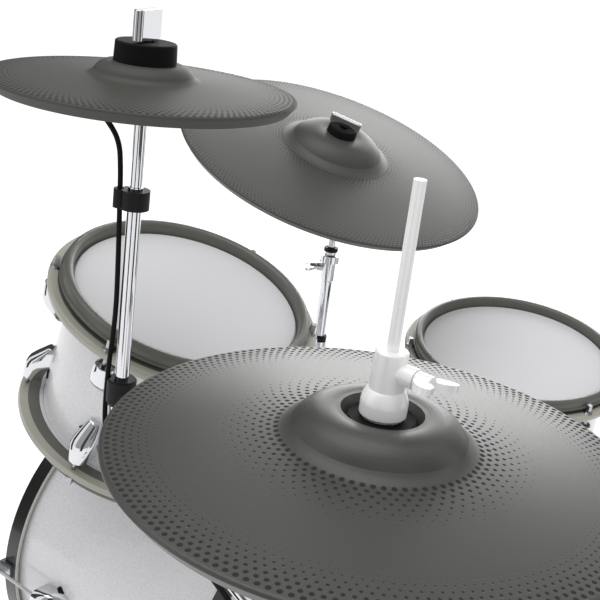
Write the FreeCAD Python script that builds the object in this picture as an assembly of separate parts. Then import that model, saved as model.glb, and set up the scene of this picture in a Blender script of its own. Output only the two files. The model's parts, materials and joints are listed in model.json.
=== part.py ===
import FreeCAD, Part
import math
import os

# Electronic drum kit: kick, rack tom, floor tom and snare with mesh heads, hi-hat, crash and ride
# pads on stands. Millimetres, +Z up, +X to the player's right, +Y away from the player. The origin
# is on the floor under the middle of the kick's batter hoop.

Vector = FreeCAD.Vector
Placement = FreeCAD.Placement
Rotation = FreeCAD.Rotation
UP = Vector(0, 0, 1)

# Fits and clearances
RUNNING_FIT = 0.05        # radial, a sliding or turning pair
CLEAR = 0.3               # between pieces that only pass each other
HOLE_CLEAR = 0.4          # radial, a screw through a plain hole

# Drum construction, shared by every drum
SHELL_WALL = 7.0
HEAD_THICK = 1.6
HEAD_DEPTH = 15.0         # playing surface below the top of the rim
COLLAR_GAP = 0.4          # head collar outside the shell
COLLAR_THICK = 2.2
FLESH_WIDE = 4.6          # ring that the hoop pulls on
FLESH_TALL = 5.0
RIM_WALL = 14.0           # padded roll of the hoop
RIM_ROUND = 6.5           # height of the roll's rounded top
RIM_TALL = 12.0           # roll down to the bead
BEAD_OUT = 2.5            # bead outside the roll
BEAD_TALL = 3.0
GROOVE_DEEP = 4.0
GROOVE_TALL = 6.0
FLANGE_WIDE = 15.0        # flange beyond the roll
FLANGE_TALL = 10.0
FLANGE_ROUND = 4.0
LUG_WIDE = 31.0
LUG_BEYOND = 9.0          # lug's front beyond the rod's axis
LUG_TALL = 52.0
LUG_APART = 3.0           # half the least gap between the lugs of two hoops
LUG_DROP = 14.0           # from the hoop's flange to the lug
LUG_END = 0.8             # width of the rod's end against the widest place
LUG_WIDEST = 0.46         # widest place and chin, as shares of the length
LUG_CHIN = 0.6
LUG_NOSE = 0.5            # width of the far end against the widest place
LUG_SEAT_R = 7.5          # hollow round the rod in the lug's end
LUG_SEAT = 3.5
ROD_R = 2.9
ROD_IN_LUG = 20.0
ROD_HEAD = 6.4            # square head, across flats
ROD_HEAD_TALL = 12.0
WASHER_R = 7.6
WASHER_TALL = 2.4
TRIGGER_BAR_WIDE = 22.0
TRIGGER_BAR_THICK = 3.0
CONE_R = 16.0
CONE_TIP_R = 7.0
CONE_TALL = 24.0

# Kick drum, lying along +Y
KICK_R = 228.6
KICK_DEPTH = 383.0
KICK_HOOP_WALL = 10.4     # hoop's outer face beyond the shell
KICK_HOOP_WIDE = 26.0
KICK_HOOP_OVER = 10.0     # hoop beyond the head
KICK_HOOP_LIP = 14.0      # thick part of the hoop, over the head's ring
KICK_FOOT_TALL = 7.0
KICK_LUGS = 6
KICK_LUG_PHASE = 0.0
KICK_LUG_IN = 62.0        # hoop's inner edge to the lug
KICK_ROD_OUT = 13.0       # rod's axis outside the hoop's face radius
CLAW_WIDE = 22.0
CLAW_THICK = 4.0
CLAW_REACH = 9.0

# Rack tom, 12 inch
TOM_R = 145.0
TOM_HEIGHT = 241.0        # rim to rim
TOM_LUGS = 6
TOM_LUG_PHASE = 14.0
TOM_X = -154.0
TOM_Y = 144.0
TOM_CLEAR = 38.4          # a drum's height under the rim's middle, above the kick's shell
TOM_AXIS = Vector(-0.025, -0.284, 0.958)

# Rack tom's mount on the kick
MOUNT_PHASE = -16.0       # between two lugs
POST_REACH = 221.0        # post from the tom's axis
POST_R = 9.5
POST_IN = 70.0            # post inside the kick
MOUNT_ARM_R = 6.0
MOUNT_HEAD_R = 15.0
MOUNT_HEAD_LONG = 30.0
TOM_BLOCK_TALL = 56.0
TOM_BLOCK_WIDE = 38.0
TOM_BLOCK_DEEP = 24.0
HOLDER_R = 18.0
HOLDER_FLANGE_R = 34.0
HOLDER_TALL = 46.0

# Kick spurs
SPUR_BACK = 50.0          # pivot behind the front head
SPUR_DROP = 96.0          # pivot below the kick's axis
SPUR_SPLAY = 54.4         # tip outside the shell's radius
SPUR_LEAN = 15.0          # tip in front of the pivot
SPUR_TIP_R = 8.0
SPUR_R = 6.0
SPUR_HUB_R = 16.0
SPUR_HUB_WIDE = 14.0
SPUR_BLOCK_OVER = 11.4    # outer face of the bracket outside the shell's radius
SPUR_BLOCK_HALF = 21.0
SPUR_PIN_R = 6.0

# Floor tom, 13 inch
FLOOR_R = 156.0
FLOOR_HEIGHT = 330.0
FLOOR_LUGS = 6
FLOOR_LUG_PHASE = 10.0
FLOOR_BESIDE = 255.4      # middle of the rim outside the kick's shell
FLOOR_Y = -19.0
FLOOR_RIM_Z = 578.0
FLOOR_AXIS = Vector(-0.126, -0.084, 0.988)
FLOOR_LEG_R = 5.0
FLOOR_LEG_OUT = 39.5      # leg's axis outside the shell
FLOOR_LEG_TOP = 95.0      # leg's top below the rim
FLOOR_LEG_PHASE = 40.0
LEG_BRACKET_TALL = 52.0
LEG_BRACKET_WIDE = 28.0
LEG_BRACKET_DROP = 150.0  # bracket's top below the rim

# Snare, 12 inch, level on its basket stand
SNARE_R = 145.0
SNARE_HEIGHT = 152.0
SNARE_LUGS = 6
SNARE_LUG_PHASE = 0.0
SNARE_X = -160.0
SNARE_Y = -359.0
SNARE_RIM_Z = 612.0
SNARE_TUBE_R = 11.0
SNARE_HUB_DROP = 58.0     # basket's hub below the snare's lower rim
BASKET_ARM_R = 5.0
BASKET_PAD_R = 11.0
BASKET_PAD_TALL = 14.0
SNARE_LEG_HUB_Z = 250.0
SNARE_FOOT_SPREAD = 225.0

# Tripods
LEG_R = 7.0
STRUT_R = 4.0
FOOT_R = 12.0
FOOT_TALL = 24.0
HUB_R = 19.0
HUB_TALL = 26.0
RING_R = 16.0
RING_TALL = 16.0
RING_Z = 105.0
TUBE_LOW = 60.0
TUBE_END = 5.0

# Cymbal pads
PAD_THICK = 9.0
PAD_EDGE = 11.0
PAD_UNDERCUT = 7.5        # lower edge inside the rim
BELL_FILLET = 0.28        # hollow at the bell's foot, as a share of the bell's side
PIN_R = 4.0               # threaded pin that carries a pad
PAD_HOLE_R = 6.6
SEAT_R = 15.0
SEAT_TIP_R = 7.0
SEAT_TALL = 9.0
SEAT_GAP = 0.92            # room to rock

# Hi-hat
HAT_X = -575.0
HAT_Y = -424.0
HAT_RIM_Z = 900.0
HAT_R = 178.0
HAT_BELL_R = 62.0
HAT_BELL_BASE = 14.4
HAT_BELL_TOP = 32.5
HAT_WELL_R = 27.5
HAT_WELL_FLOOR_R = 23.5
HAT_WELL_DEEP = 9.0
HAT_ROD_R = 4.1
HAT_STEM_R = 3.6          # rod's lower end, beside the footboard's tip
HAT_STEM_TALL = 40.0      # of that end inside the yoke and above it
HAT_ROD_TOP = 185.0       # above the pad's edge
CLUTCH_SLEEVE_R = 6.2
CLUTCH_BARREL_R = 15.5
CLUTCH_BARREL_TALL = 19.0
CLUTCH_TUBE_R = 11.5
CLUTCH_TUBE_TALL = 27.0
CLUTCH_NUT_R = 12.0
CLUTCH_NUT_TALL = 9.0
SENSOR_R = 38.0
SENSOR_TALL = 46.0
SENSOR_BORE_R = 16.0
SENSOR_DROP = 12.0        # sensor's top below the pad's edge plane
HAT_UPPER_R = 9.5
HAT_BASE_R = 12.7
HAT_HUB_Z = 285.0
HAT_FOOT_SPREAD = 255.0
PEDAL_TURN = -63.0        # heading of the footboard, degrees from +X
PEDAL_LONG = 285.0
PEDAL_WIDE = 86.0
PEDAL_THICK = 8.0
PEDAL_HEEL_Z = 26.0
PEDAL_TOE_Z = 118.0
PEDAL_TOE_X = 12.0
PEDAL_TOE_WIDE = 68.0
PEDAL_PIN_R = 4.0
EAR_IN = 24.0             # heel ears from the pedal's middle
HAT_UPPER_LOW = 470.0
HAT_BASE_TOP = 560.0
PEDAL_BARREL_R = 9.0
PEDAL_SWING = 4.4         # degrees, full press
HOOK_X = 16.0             # where the rod's hook meets the footboard

# Crash
CRASH_X = -369.0
CRASH_Y = 32.0
CRASH_RIM_Z = 1044.0
CRASH_R = 152.4
CRASH_BELL_R = 52.0
CRASH_BELL_BASE = 8.0
CRASH_BELL_TOP = 21.5
CRASH_ROD_R = 6.0
CRASH_LOWER_R = 7.6
CRASH_STEP_Z = 940.0
CRASH_COLLAR_TOP = 727.0
CRASH_COLLAR_TALL = 30.0
CRASH_COLLAR_R = 16.0
CRASH_ROD_IN = 88.0       # rod below the collar's top
SOCKET_R = 11.5           # arm's upright socket for the rod
SOCKET_LOW = 630.0
ARM_R = 9.5               # arm from the socket to the hi-hat stand
ARM_Z = 648.0
ARM_CLAMP_Z = 705.0
ARM_CLAMP_R = 19.0
ARM_CLAMP_TALL = 34.0
STOPPER_R = 31.0
STOPPER_TALL = 20.0
STOPPER_BORE_R = 8.0
STOPPER_DRAFT = 0.8
NUT_LONG = 51.0           # upright plate that tightens a pad
NUT_THICK = 10.5
NUT_ROOF = 6.0            # closed top over the pin
NUT_GAP = 2.2             # room for the pad to rock under the nut
CRASH_NUT_TALL = 29.0
CRASH_NUT_TURN = 22.0     # long axis from +X, degrees
CLIP_R = 15.0
CLIP_TALL = 20.0
CLIP_Z = 927.0
CLIP_CABLE = 15.6         # cable from the rod's axis, in the clip
CRASH_WING_Z = 680.0

# Ride
RIDE_RIM_Z = 850.0
RIDE_RIM_LEFT = 11.0      # middle of the rim from the stand
RIDE_RIM_BEHIND = 14.0
RIDE_AXIS = Vector(-0.0604, -0.3003, 0.9519)
RIDE_R = 254.0
RIDE_BELL_R = 82.0
RIDE_BELL_BASE = 15.0
RIDE_BELL_TOP = 43.0
RIDE_BESIDE = 78.4        # stand outside the kick's shell
RIDE_BACK = 116.0         # stand behind the kick's front head
RIDE_HINGE_Z = 812.0
RIDE_ROD_R = 6.0
RIDE_ROD_IN = 110.0
RIDE_UPPER_R = 9.6
RIDE_UPPER_TOP = 690.0
RIDE_UPPER_IN = 150.0
RIDE_BASE_R = 12.7
RIDE_BASE_TOP = 528.0
RIDE_HUB_Z = 290.0
RIDE_RING_Z = 150.0       # struts pass over the kick's spur
RIDE_FOOT_SPREAD = 260.0
TILT_DISC_R = 13.0
TILT_DISC_WIDE = 13.2
TILT_PIN_R = 4.0
RIDE_BUSH_R = 24.0
RIDE_BUSH_TALL = 12.0
RIDE_NUT_TALL = 13.0
RIDE_NUT_TURN = 34.5      # long axis from the slope of the pad, degrees

# Wing screws
WING_SCREW_R = 3.0
WING_HUB_R = 6.0
WING_HUB_LONG = 11.0
BLADE_AT = 11.5           # middle of a blade from the screw's axis
BLADE_OUT = 11.0          # and from the face of the boss
BLADE_LONG = 12.0         # half lengths of a blade
BLADE_WIDE = 6.2
BLADE_LEAN = 38.0         # degrees
BLADE_THICK = 5.0
WING_BOSS_R = 7.0
CLAMP_LUG = 9.0           # screw boss outside its tube

# Cable of the crash pad
CABLE_R = 2.75
COIL_GAP = 0.7            # between neighbouring turns
COIL_TURNS = 2.5          # in each of the two layers
COIL_OUTER = 37.0         # radius of the outermost turn
COIL_TAIL = 31.0          # straight end that carries the plug clear of the turns
# Route beside the rod: distance from its axis, height
CABLE_WAY = Vector(-0.6346, 0.7729, 0).normalize()
CABLE_DROP = ((54.5, 1042.5), (50, 1021), (33, 1005), (19.5, 985), (16.6, 956), (15.5, 927), (13, 865),
              (11.2, 800), (15.6, 735), (16.4, 683))
# Round the socket to the arm: degrees from +X, distance from the socket's axis, height
CABLE_ROUND = (190.0, 21.0, 661.0)
CABLE_BESIDE = 14.5       # from the arm's axis, along the arm
CABLE_JOINS = 72.0        # on the arm from the socket
CABLE_LEAVES = 125.0      # on the arm before the hi-hat stand
# Down the hi-hat stand: distance from its axis, height
COIL_TURN = 72.0          # heading on the floor from +X, degrees
CABLE_FOOT = ((46, 640), (24, 560), (24, 330), (27, 250), (33, 180), (44, 122), (64, 72), (94, 34),
              (130, 9), (170, 2.95), (208, 2.95))
PLUG_R = 6.5
PLUG_LONG = 36.0
PLUG_PIN_R = 3.17
PLUG_PIN_LONG = 28.0

# Values that follow from the ones above
HOOP_IN = COLLAR_GAP + COLLAR_THICK + HOLE_CLEAR
RIM_OUT = HOOP_IN + RIM_WALL
FLANGE_OUT = RIM_OUT + FLANGE_WIDE
BEAD_LOW = RIM_TALL + BEAD_TALL
FLANGE_TOP = BEAD_LOW + GROOVE_TALL
FLANGE_LOW = FLANGE_TOP + FLANGE_TALL
ROD_OUT = RIM_OUT + BEAD_OUT + ROD_HEAD / 2 + 1.0
LUG_DEEP = ROD_OUT + LUG_BEYOND
LUG_TOP = FLANGE_LOW + LUG_DROP
KICK_HOOP_R = KICK_R + KICK_HOOP_WALL
KICK_AXIS_Z = KICK_HOOP_R + KICK_FOOT_TALL
KICK_HEAD_Y = KICK_HOOP_OVER - KICK_HOOP_WIDE / 2
KICK_FRONT_Y = KICK_HEAD_Y + KICK_DEPTH
SPUR_Y = KICK_FRONT_Y - SPUR_BACK
SPUR_Z = KICK_AXIS_Z - SPUR_DROP
SPUR_TIP = Vector(KICK_R + SPUR_SPLAY, SPUR_Y + SPUR_LEAN, SPUR_TIP_R)
SPUR_BLOCK_OUT = KICK_R + SPUR_BLOCK_OVER
TOM_AT = Vector(TOM_X, TOM_Y, KICK_AXIS_Z + KICK_R + TOM_CLEAR + TOM_HEIGHT)
FLOOR_AT = Vector(KICK_R + FLOOR_BESIDE, FLOOR_Y, FLOOR_RIM_Z)
SNARE_AT = Vector(SNARE_X, SNARE_Y, SNARE_RIM_Z)
HAT_AT = Vector(HAT_X, HAT_Y, HAT_RIM_Z)
CRASH_AT = Vector(CRASH_X, CRASH_Y, CRASH_RIM_Z)
ARM_START = Vector(CRASH_X, CRASH_Y, ARM_Z)
ARM_END = Vector(HAT_X, HAT_Y, ARM_CLAMP_Z)
COIL_WAY = Vector(math.cos(math.radians(COIL_TURN)), math.sin(math.radians(COIL_TURN)), 0)
RIDE_STAND = Vector(KICK_R + RIDE_BESIDE, KICK_FRONT_Y - RIDE_BACK, 0)
RIDE_AT = RIDE_STAND + Vector(-RIDE_RIM_LEFT, RIDE_RIM_BEHIND, RIDE_RIM_Z)


def revolved(points, edges=()):
    """A solid of revolution about Z from (radius, height) points; `edges` names arcs by their
    start index with the point that each arc passes through."""
    arcs = dict(edges)
    corners = [Vector(r, 0, z) for r, z in points]
    lines = []
    for index, start in enumerate(corners):
        end = corners[(index + 1) % len(corners)]
        if index in arcs:
            r, z = arcs[index]
            lines.append(Part.Arc(start, Vector(r, 0, z), end).toShape())
        else:
            lines.append(Part.LineSegment(start, end).toShape())
    face = Part.Face(Part.Wire(lines))
    return face.revolve(Vector(0, 0, 0), UP, 360)


def rod(start, end, radius):
    """A round bar between two points."""
    return Part.makeCylinder(radius, (end - start).Length, start, end - start)


def prism(sides, radius, height, base, axis=UP):
    """A regular prism, for small repeated fasteners."""
    turn = 2 * math.pi / sides
    ring = [Vector(radius * math.cos(turn * (k + 0.5)), radius * math.sin(turn * (k + 0.5)), 0)
            for k in range(sides)]
    solid = Part.Face(Part.makePolygon(ring + ring[:1])).extrude(Vector(0, 0, height))
    solid.Placement = Placement(base, Rotation(UP, axis))
    return solid


def box(low, high):
    """A box between two corners."""
    size = high - low
    return Part.makeBox(size.x, size.y, size.z, low)


def turned(shape, degrees, axis=UP, about=Vector(0, 0, 0)):
    """A copy of a shape, turned about an axis."""
    copy = shape.copy()
    copy.rotate(about, axis, degrees)
    return copy


def placed(shape, placement):
    """A copy of a shape, set at a placement."""
    copy = shape.copy()
    copy.Placement = placement.multiply(copy.Placement)
    return copy


def group(shapes):
    """Separate solids kept as one node."""
    return Part.makeCompound(shapes)


def fused(first, *others):
    """One solid from touching pieces."""
    return first.fuse(list(others)).removeSplitter()


def axis_frame(at, axis):
    """A placement whose Z runs along an axis and whose X stays in the plane of world X."""
    z = Vector(axis).normalize()
    y = z.cross(Vector(1, 0, 0)).normalize()
    return Placement(at, Rotation(y.cross(z), y, z, "ZXY"))


nodes = {}


def keep(name, shape):
    """Store a node's shape under its name."""
    nodes[name] = shape


# Drums


def drum_shell(radius, height):
    """Shell with its bearing edges bevelled inwards, rim at z = 0 and axis down -Z."""
    top = -HEAD_DEPTH - HEAD_THICK
    low = -height - top
    bevel = SHELL_WALL * 0.6
    inner = radius - SHELL_WALL
    return revolved([(inner, low + bevel), (radius - bevel / 2, low), (radius, low + bevel),
                     (radius, top - bevel), (radius - bevel / 2, top), (inner, top - bevel)])


def drum_head(radius, top, low):
    """Head with its collar and flesh ring, from its playing face down to the ring's lower edge."""
    inner = radius + COLLAR_GAP
    outer = inner + COLLAR_THICK
    flesh = inner + FLESH_WIDE
    return revolved([(0, top), (radius, top), (outer, top - 3), (outer, low + FLESH_TALL),
                     (flesh, low + FLESH_TALL), (flesh, low), (inner, low),
                     (inner, top - HEAD_THICK), (0, top - HEAD_THICK)])


def drum_hoop(radius, count, phase):
    """Hoop: padded roll, bead, groove and a wide rounded flange that the rods pull on."""
    inner = radius + HOOP_IN
    rim = radius + RIM_OUT
    crest = (inner + rim) / 2
    bead = rim + BEAD_OUT
    groove = rim - GROOVE_DEEP
    flange = radius + FLANGE_OUT
    seat = radius + COLLAR_GAP + FLESH_WIDE + CLEAR
    over_flesh = -FLANGE_LOW + FLESH_TALL + CLEAR
    turn = 1 - math.sqrt(0.5)
    near = turn * RIM_WALL / 2
    shoulder = turn * FLANGE_ROUND
    points = [(inner, over_flesh), (inner, -RIM_ROUND), (crest, 0), (rim, -RIM_ROUND), (rim, -RIM_TALL),
              (bead, -RIM_TALL - 1), (bead, -BEAD_LOW), (groove, -BEAD_LOW - 1), (groove, -FLANGE_TOP),
              (flange - FLANGE_ROUND, -FLANGE_TOP), (flange, -FLANGE_TOP - FLANGE_ROUND),
              (flange - 1, -FLANGE_LOW), (seat, -FLANGE_LOW), (seat, over_flesh)]
    arcs = [(1, (inner + near, -turn * RIM_ROUND)), (2, (rim - near, -turn * RIM_ROUND)),
            (9, (flange - shoulder, -FLANGE_TOP - shoulder))]
    ring = revolved(points, arcs)
    holes = [prism(6, ROD_R + HOLE_CLEAR, FLANGE_TALL + 2, Vector(x, y, -FLANGE_LOW - 1))
             for x, y in around(radius + ROD_OUT, count, phase)]
    return ring.cut(holes)


def around(radius, count, phase):
    """Points evenly round a circle."""
    step = 360.0 / count
    return [(radius * math.cos(math.radians(phase + k * step)),
             radius * math.sin(math.radians(phase + k * step))) for k in range(count)]


def six_sided(wide, deep, x, z):
    """A lug's section: flat back at x, bevelled front, level at z."""
    half = wide / 2
    corner = half * 0.55
    ring = [Vector(x, -half, z), Vector(x + deep * 0.62, -half, z), Vector(x + deep, -corner, z),
            Vector(x + deep, corner, z), Vector(x + deep * 0.62, half, z), Vector(x, half, z)]
    return Part.makePolygon(ring + ring[:1])


def lug_body(deep, back, long):
    """A lug's faceted body, from the rod's end at z = 0 to its nose at z = long."""
    return Part.makeLoft([six_sided(LUG_WIDE * LUG_END, deep, back, 0),
                          six_sided(LUG_WIDE, deep, back, long * LUG_WIDEST),
                          six_sided(LUG_WIDE * 0.92, deep * 0.84, back, long * LUG_CHIN),
                          six_sided(LUG_WIDE * LUG_NOSE, deep * 0.3, back, long)], True, True)


def lug(radius, rod_radius, tall):
    """One lug against a shell of this radius: a cup that widens from the rod's end, then a chin and
    a nose that falls back to the shell. The rod's end is at z = 0 and the lug runs down."""
    back = math.sqrt(radius ** 2 - (LUG_WIDE / 2) ** 2) - 1.0
    deep = radius + LUG_DEEP - back
    body = lug_body(deep, back, -tall)
    bore = prism(6, ROD_R + HOLE_CLEAR, ROD_IN_LUG + 1, Vector(rod_radius, 0, -ROD_IN_LUG))
    seat = Part.makeCone(LUG_SEAT_R / 2, LUG_SEAT_R, LUG_SEAT, Vector(rod_radius, 0, -LUG_SEAT))
    shell = Part.makeCylinder(radius, tall + 2, Vector(0, 0, -tall - 1))
    return body.cut([bore, seat, shell])


def tension_rod(rod_radius, long):
    """One tension rod: shank, washer and square head, with the washer's face at z = 0."""
    half = ROD_HEAD / 2
    shank = prism(6, ROD_R, long, Vector(rod_radius, 0, -long))
    washer = Part.makeCone(WASHER_R, WASHER_R * 0.7, WASHER_TALL, Vector(rod_radius, 0, 0))
    head = box(Vector(rod_radius - half, -half, WASHER_TALL),
               Vector(rod_radius + half, half, WASHER_TALL + ROD_HEAD_TALL))
    return fused(shank, washer, head)


def ring_of(shape, count, phase):
    """Copies of a shape evenly round Z."""
    return [turned(shape, phase + 360.0 / count * k) for k in range(count)]


def both_ends(shapes, height):
    """The pieces of the top, and their mirror images at the lower rim."""
    middle = Vector(0, 0, -height / 2)
    return shapes + [shape.mirror(middle, UP) for shape in shapes]


def trigger(radius, head_z, thick):
    """Sensor cone under a head, on a bar across the shell."""
    tip = head_z - thick - CLEAR
    cone = Part.makeCone(CONE_R, CONE_TIP_R, CONE_TALL, Vector(0, 0, tip - CONE_TALL))
    inner = radius - SHELL_WALL - CLEAR
    reach = math.sqrt(inner ** 2 - (TRIGGER_BAR_WIDE / 2) ** 2)
    half = TRIGGER_BAR_WIDE / 2
    low = tip - CONE_TALL - TRIGGER_BAR_THICK
    bar = box(Vector(-reach, -half, low), Vector(reach, half, low + TRIGGER_BAR_THICK))
    ends = [box(Vector(side * reach - TRIGGER_BAR_THICK / 2, -half, low - CONE_TALL),
                Vector(side * reach + TRIGGER_BAR_THICK / 2, half, low)).translated(
                    Vector(-side * TRIGGER_BAR_THICK / 2, 0, 0)) for side in (-1, 1)]
    return [cone, fused(bar, *ends)]


def make_drum(name, radius, height, count, phase, placement, cuts=()):
    """Store the nodes of one drum with two hoops and give back its trigger."""
    rods = ring_of(tension_rod(radius + ROD_OUT, LUG_TOP - FLANGE_TOP + ROD_IN_LUG - 1), count, phase)
    rods = [piece.translated(Vector(0, 0, -FLANGE_TOP)) for piece in rods]
    lug_tall = min(LUG_TALL, height / 2 - LUG_TOP - LUG_APART)
    lugs = [piece.translated(Vector(0, 0, -LUG_TOP))
            for piece in ring_of(lug(radius, radius + ROD_OUT, lug_tall), count, phase)]
    hoop = drum_hoop(radius, count, phase)
    shell = drum_shell(radius, height)
    if cuts:
        shell = shell.cut(list(cuts))
    keep(name + "_shell", placed(shell, placement))
    head = drum_head(radius, -HEAD_DEPTH, -FLANGE_LOW)
    keep(name + "_heads", placed(group(both_ends([head], height)), placement))
    keep(name + "_hoops", placed(group(both_ends([hoop], height)), placement))
    keep(name + "_lugs", placed(group(both_ends(lugs, height)), placement))
    keep(name + "_tension_rods", placed(group(both_ends(rods, height)), placement))
    return [placed(piece, placement) for piece in trigger(radius, -HEAD_DEPTH, HEAD_THICK)]


# Kick: its own pieces in a frame whose Z runs along the drum, batter head at z = 0

kick_frame = Placement(Vector(0, KICK_HEAD_Y, KICK_AXIS_Z), Rotation(Vector(1, 0, 0), -90))


def kick_hoop():
    """Wooden kick hoop whose thick part bears on the head's ring."""
    inner = KICK_R + COLLAR_GAP + FLESH_WIDE + CLEAR
    lip = KICK_R + COLLAR_GAP + COLLAR_THICK + CLEAR
    edge = 1.5
    out = -KICK_HOOP_OVER
    deep = out + KICK_HOOP_WIDE
    step = out + KICK_HOOP_LIP
    return revolved([(lip, out), (KICK_HOOP_R - edge, out), (KICK_HOOP_R, out + edge),
                     (KICK_HOOP_R, deep - edge), (KICK_HOOP_R - edge, deep), (inner, deep),
                     (inner, step), (lip, step)])


def kick_rod():
    """One kick tension rod with the claw that hooks over the hoop, hoop's outer face at z = 0."""
    axis = KICK_HOOP_R + KICK_ROD_OUT
    reach = KICK_HOOP_WIDE + KICK_LUG_IN + ROD_IN_LUG - 1
    shank = prism(6, ROD_R, reach + CLAW_THICK, Vector(axis, 0, -CLAW_THICK))
    half = CLAW_WIDE / 2
    plate = box(Vector(KICK_HOOP_R - CLAW_REACH, -half, -CLAW_THICK - CLEAR),
                Vector(axis + half * 0.7, half, -CLEAR))
    skirt = box(Vector(KICK_HOOP_R + CLEAR, -half, -CLEAR),
                Vector(KICK_HOOP_R + CLEAR + CLAW_THICK, half, KICK_HOOP_WIDE * 0.7))
    head = box(Vector(axis - ROD_HEAD / 2, -ROD_HEAD / 2, -CLAW_THICK - CLEAR - ROD_HEAD_TALL),
               Vector(axis + ROD_HEAD / 2, ROD_HEAD / 2, -CLAW_THICK - CLEAR))
    return fused(shank, plate, skirt, head).translated(Vector(0, 0, -KICK_HOOP_OVER))


def make_kick():
    """Store the kick's own nodes and give back its trigger."""
    middle = Vector(0, 0, KICK_DEPTH / 2)
    bevel = SHELL_WALL * 0.6
    low = HEAD_THICK
    high = KICK_DEPTH - HEAD_THICK
    inner = KICK_R - SHELL_WALL
    shell = revolved([(inner, low + bevel), (KICK_R - bevel / 2, low), (KICK_R, low + bevel),
                      (KICK_R, high - bevel), (KICK_R - bevel / 2, high), (inner, high - bevel)])
    post_hole = Part.makeCylinder(POST_R + 1.0, KICK_R * 2, POST_AT, UP)
    keep("kick_shell", placed(shell, kick_frame).cut(post_hole))
    hoop = kick_hoop()
    ring_low = KICK_HOOP_LIP - KICK_HOOP_OVER + CLEAR + FLESH_TALL
    head = drum_head(KICK_R, 0, -ring_low).mirror(Vector(0, 0, 0), UP)
    lug_end = KICK_HOOP_WIDE - KICK_HOOP_OVER + KICK_LUG_IN
    axis = KICK_HOOP_R + KICK_ROD_OUT
    one_lug = kick_lug(axis).translated(Vector(0, 0, lug_end))
    lugs = ring_of(one_lug, KICK_LUGS, KICK_LUG_PHASE)
    rods = ring_of(kick_rod(), KICK_LUGS, KICK_LUG_PHASE)
    for name, pieces in (("kick_hoops", [hoop]), ("kick_heads", [head]), ("kick_lugs", lugs),
                         ("kick_tension_rods", rods)):
        pair = pieces + [piece.mirror(middle, UP) for piece in pieces]
        keep(name, placed(group(pair), kick_frame))
    return [placed(piece.mirror(Vector(0, 0, 0), UP), kick_frame)
            for piece in trigger(KICK_R, 0, HEAD_THICK)]


def kick_lug(axis):
    """A kick lug: taller than a tom's, so that its rod clears the hoop. Rod's end at z = 0,
    running up +Z."""
    back = math.sqrt(KICK_R ** 2 - (LUG_WIDE / 2) ** 2) - 1.0
    deep = axis + LUG_BEYOND - back
    body = lug_body(deep, back, LUG_TALL)
    bore = prism(6, ROD_R + HOLE_CLEAR, ROD_IN_LUG + 1, Vector(axis, 0, -1))
    seat = Part.makeCone(LUG_SEAT_R, LUG_SEAT_R / 2, LUG_SEAT, Vector(axis, 0, 0))
    shell = Part.makeCylinder(KICK_R, LUG_TALL + 2, Vector(0, 0, -1))
    return body.cut([bore, seat, shell])


# Rack tom and its mount

tom_frame = axis_frame(TOM_AT, TOM_AXIS)
tom_middle = tom_frame.multVec(Vector(0, 0, -TOM_HEIGHT / 2))
mount_turn = math.radians(MOUNT_PHASE)
mount_way = tom_frame.Rotation.multVec(Vector(math.cos(mount_turn), math.sin(mount_turn), 0))
mount_way = Vector(mount_way.x, mount_way.y, 0).normalize()
mount_head = tom_middle + mount_way * POST_REACH
POST_AT = Vector(mount_head.x, mount_head.y, KICK_AXIS_Z)


def kick_solid():
    """The space of the kick's shell, to seat brackets on."""
    return Part.makeCylinder(KICK_R, KICK_DEPTH, Vector(0, KICK_HEAD_Y, KICK_AXIS_Z), Vector(0, 1, 0))


def make_tom():
    """Store the rack tom's nodes, its bracket and its post."""
    keep("tom_trigger", group(make_drum("tom", TOM_R, TOM_HEIGHT, TOM_LUGS, TOM_LUG_PHASE, tom_frame)))
    half = TOM_BLOCK_WIDE / 2
    tall = TOM_BLOCK_TALL / 2
    block = box(Vector(TOM_R - 5, -half, -tall), Vector(TOM_R + TOM_BLOCK_DEEP, half, tall))
    block = block.translated(Vector(0, 0, -TOM_HEIGHT / 2))
    block = turned(block, MOUNT_PHASE)
    shell = Part.makeCylinder(TOM_R, TOM_HEIGHT, Vector(0, 0, -TOM_HEIGHT))
    block = placed(block.cut(shell), tom_frame)
    end = POST_REACH + MOUNT_HEAD_LONG / 2 + CLEAR
    arm = rod(tom_middle + mount_way * (TOM_R + TOM_BLOCK_DEEP / 2), tom_middle + mount_way * (end + 5),
              MOUNT_ARM_R)
    stop = rod(tom_middle + mount_way * end, tom_middle + mount_way * (end + 5), MOUNT_ARM_R + 4)
    keep("tom_bracket", fused(block, arm, stop))
    foot = Vector(POST_AT.x, POST_AT.y, KICK_AXIS_Z + KICK_R - POST_IN)
    post = rod(foot, mount_head, POST_R)
    head = rod(mount_head - mount_way * (MOUNT_HEAD_LONG / 2), mount_head + mount_way * (MOUNT_HEAD_LONG / 2),
               MOUNT_HEAD_R)
    bore = rod(mount_head - mount_way * MOUNT_HEAD_LONG, mount_head + mount_way * MOUNT_HEAD_LONG,
               MOUNT_ARM_R + RUNNING_FIT)
    keep("tom_post", fused(post, head).cut(bore))
    print("tom hinge", mount_head, mount_way)


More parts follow.
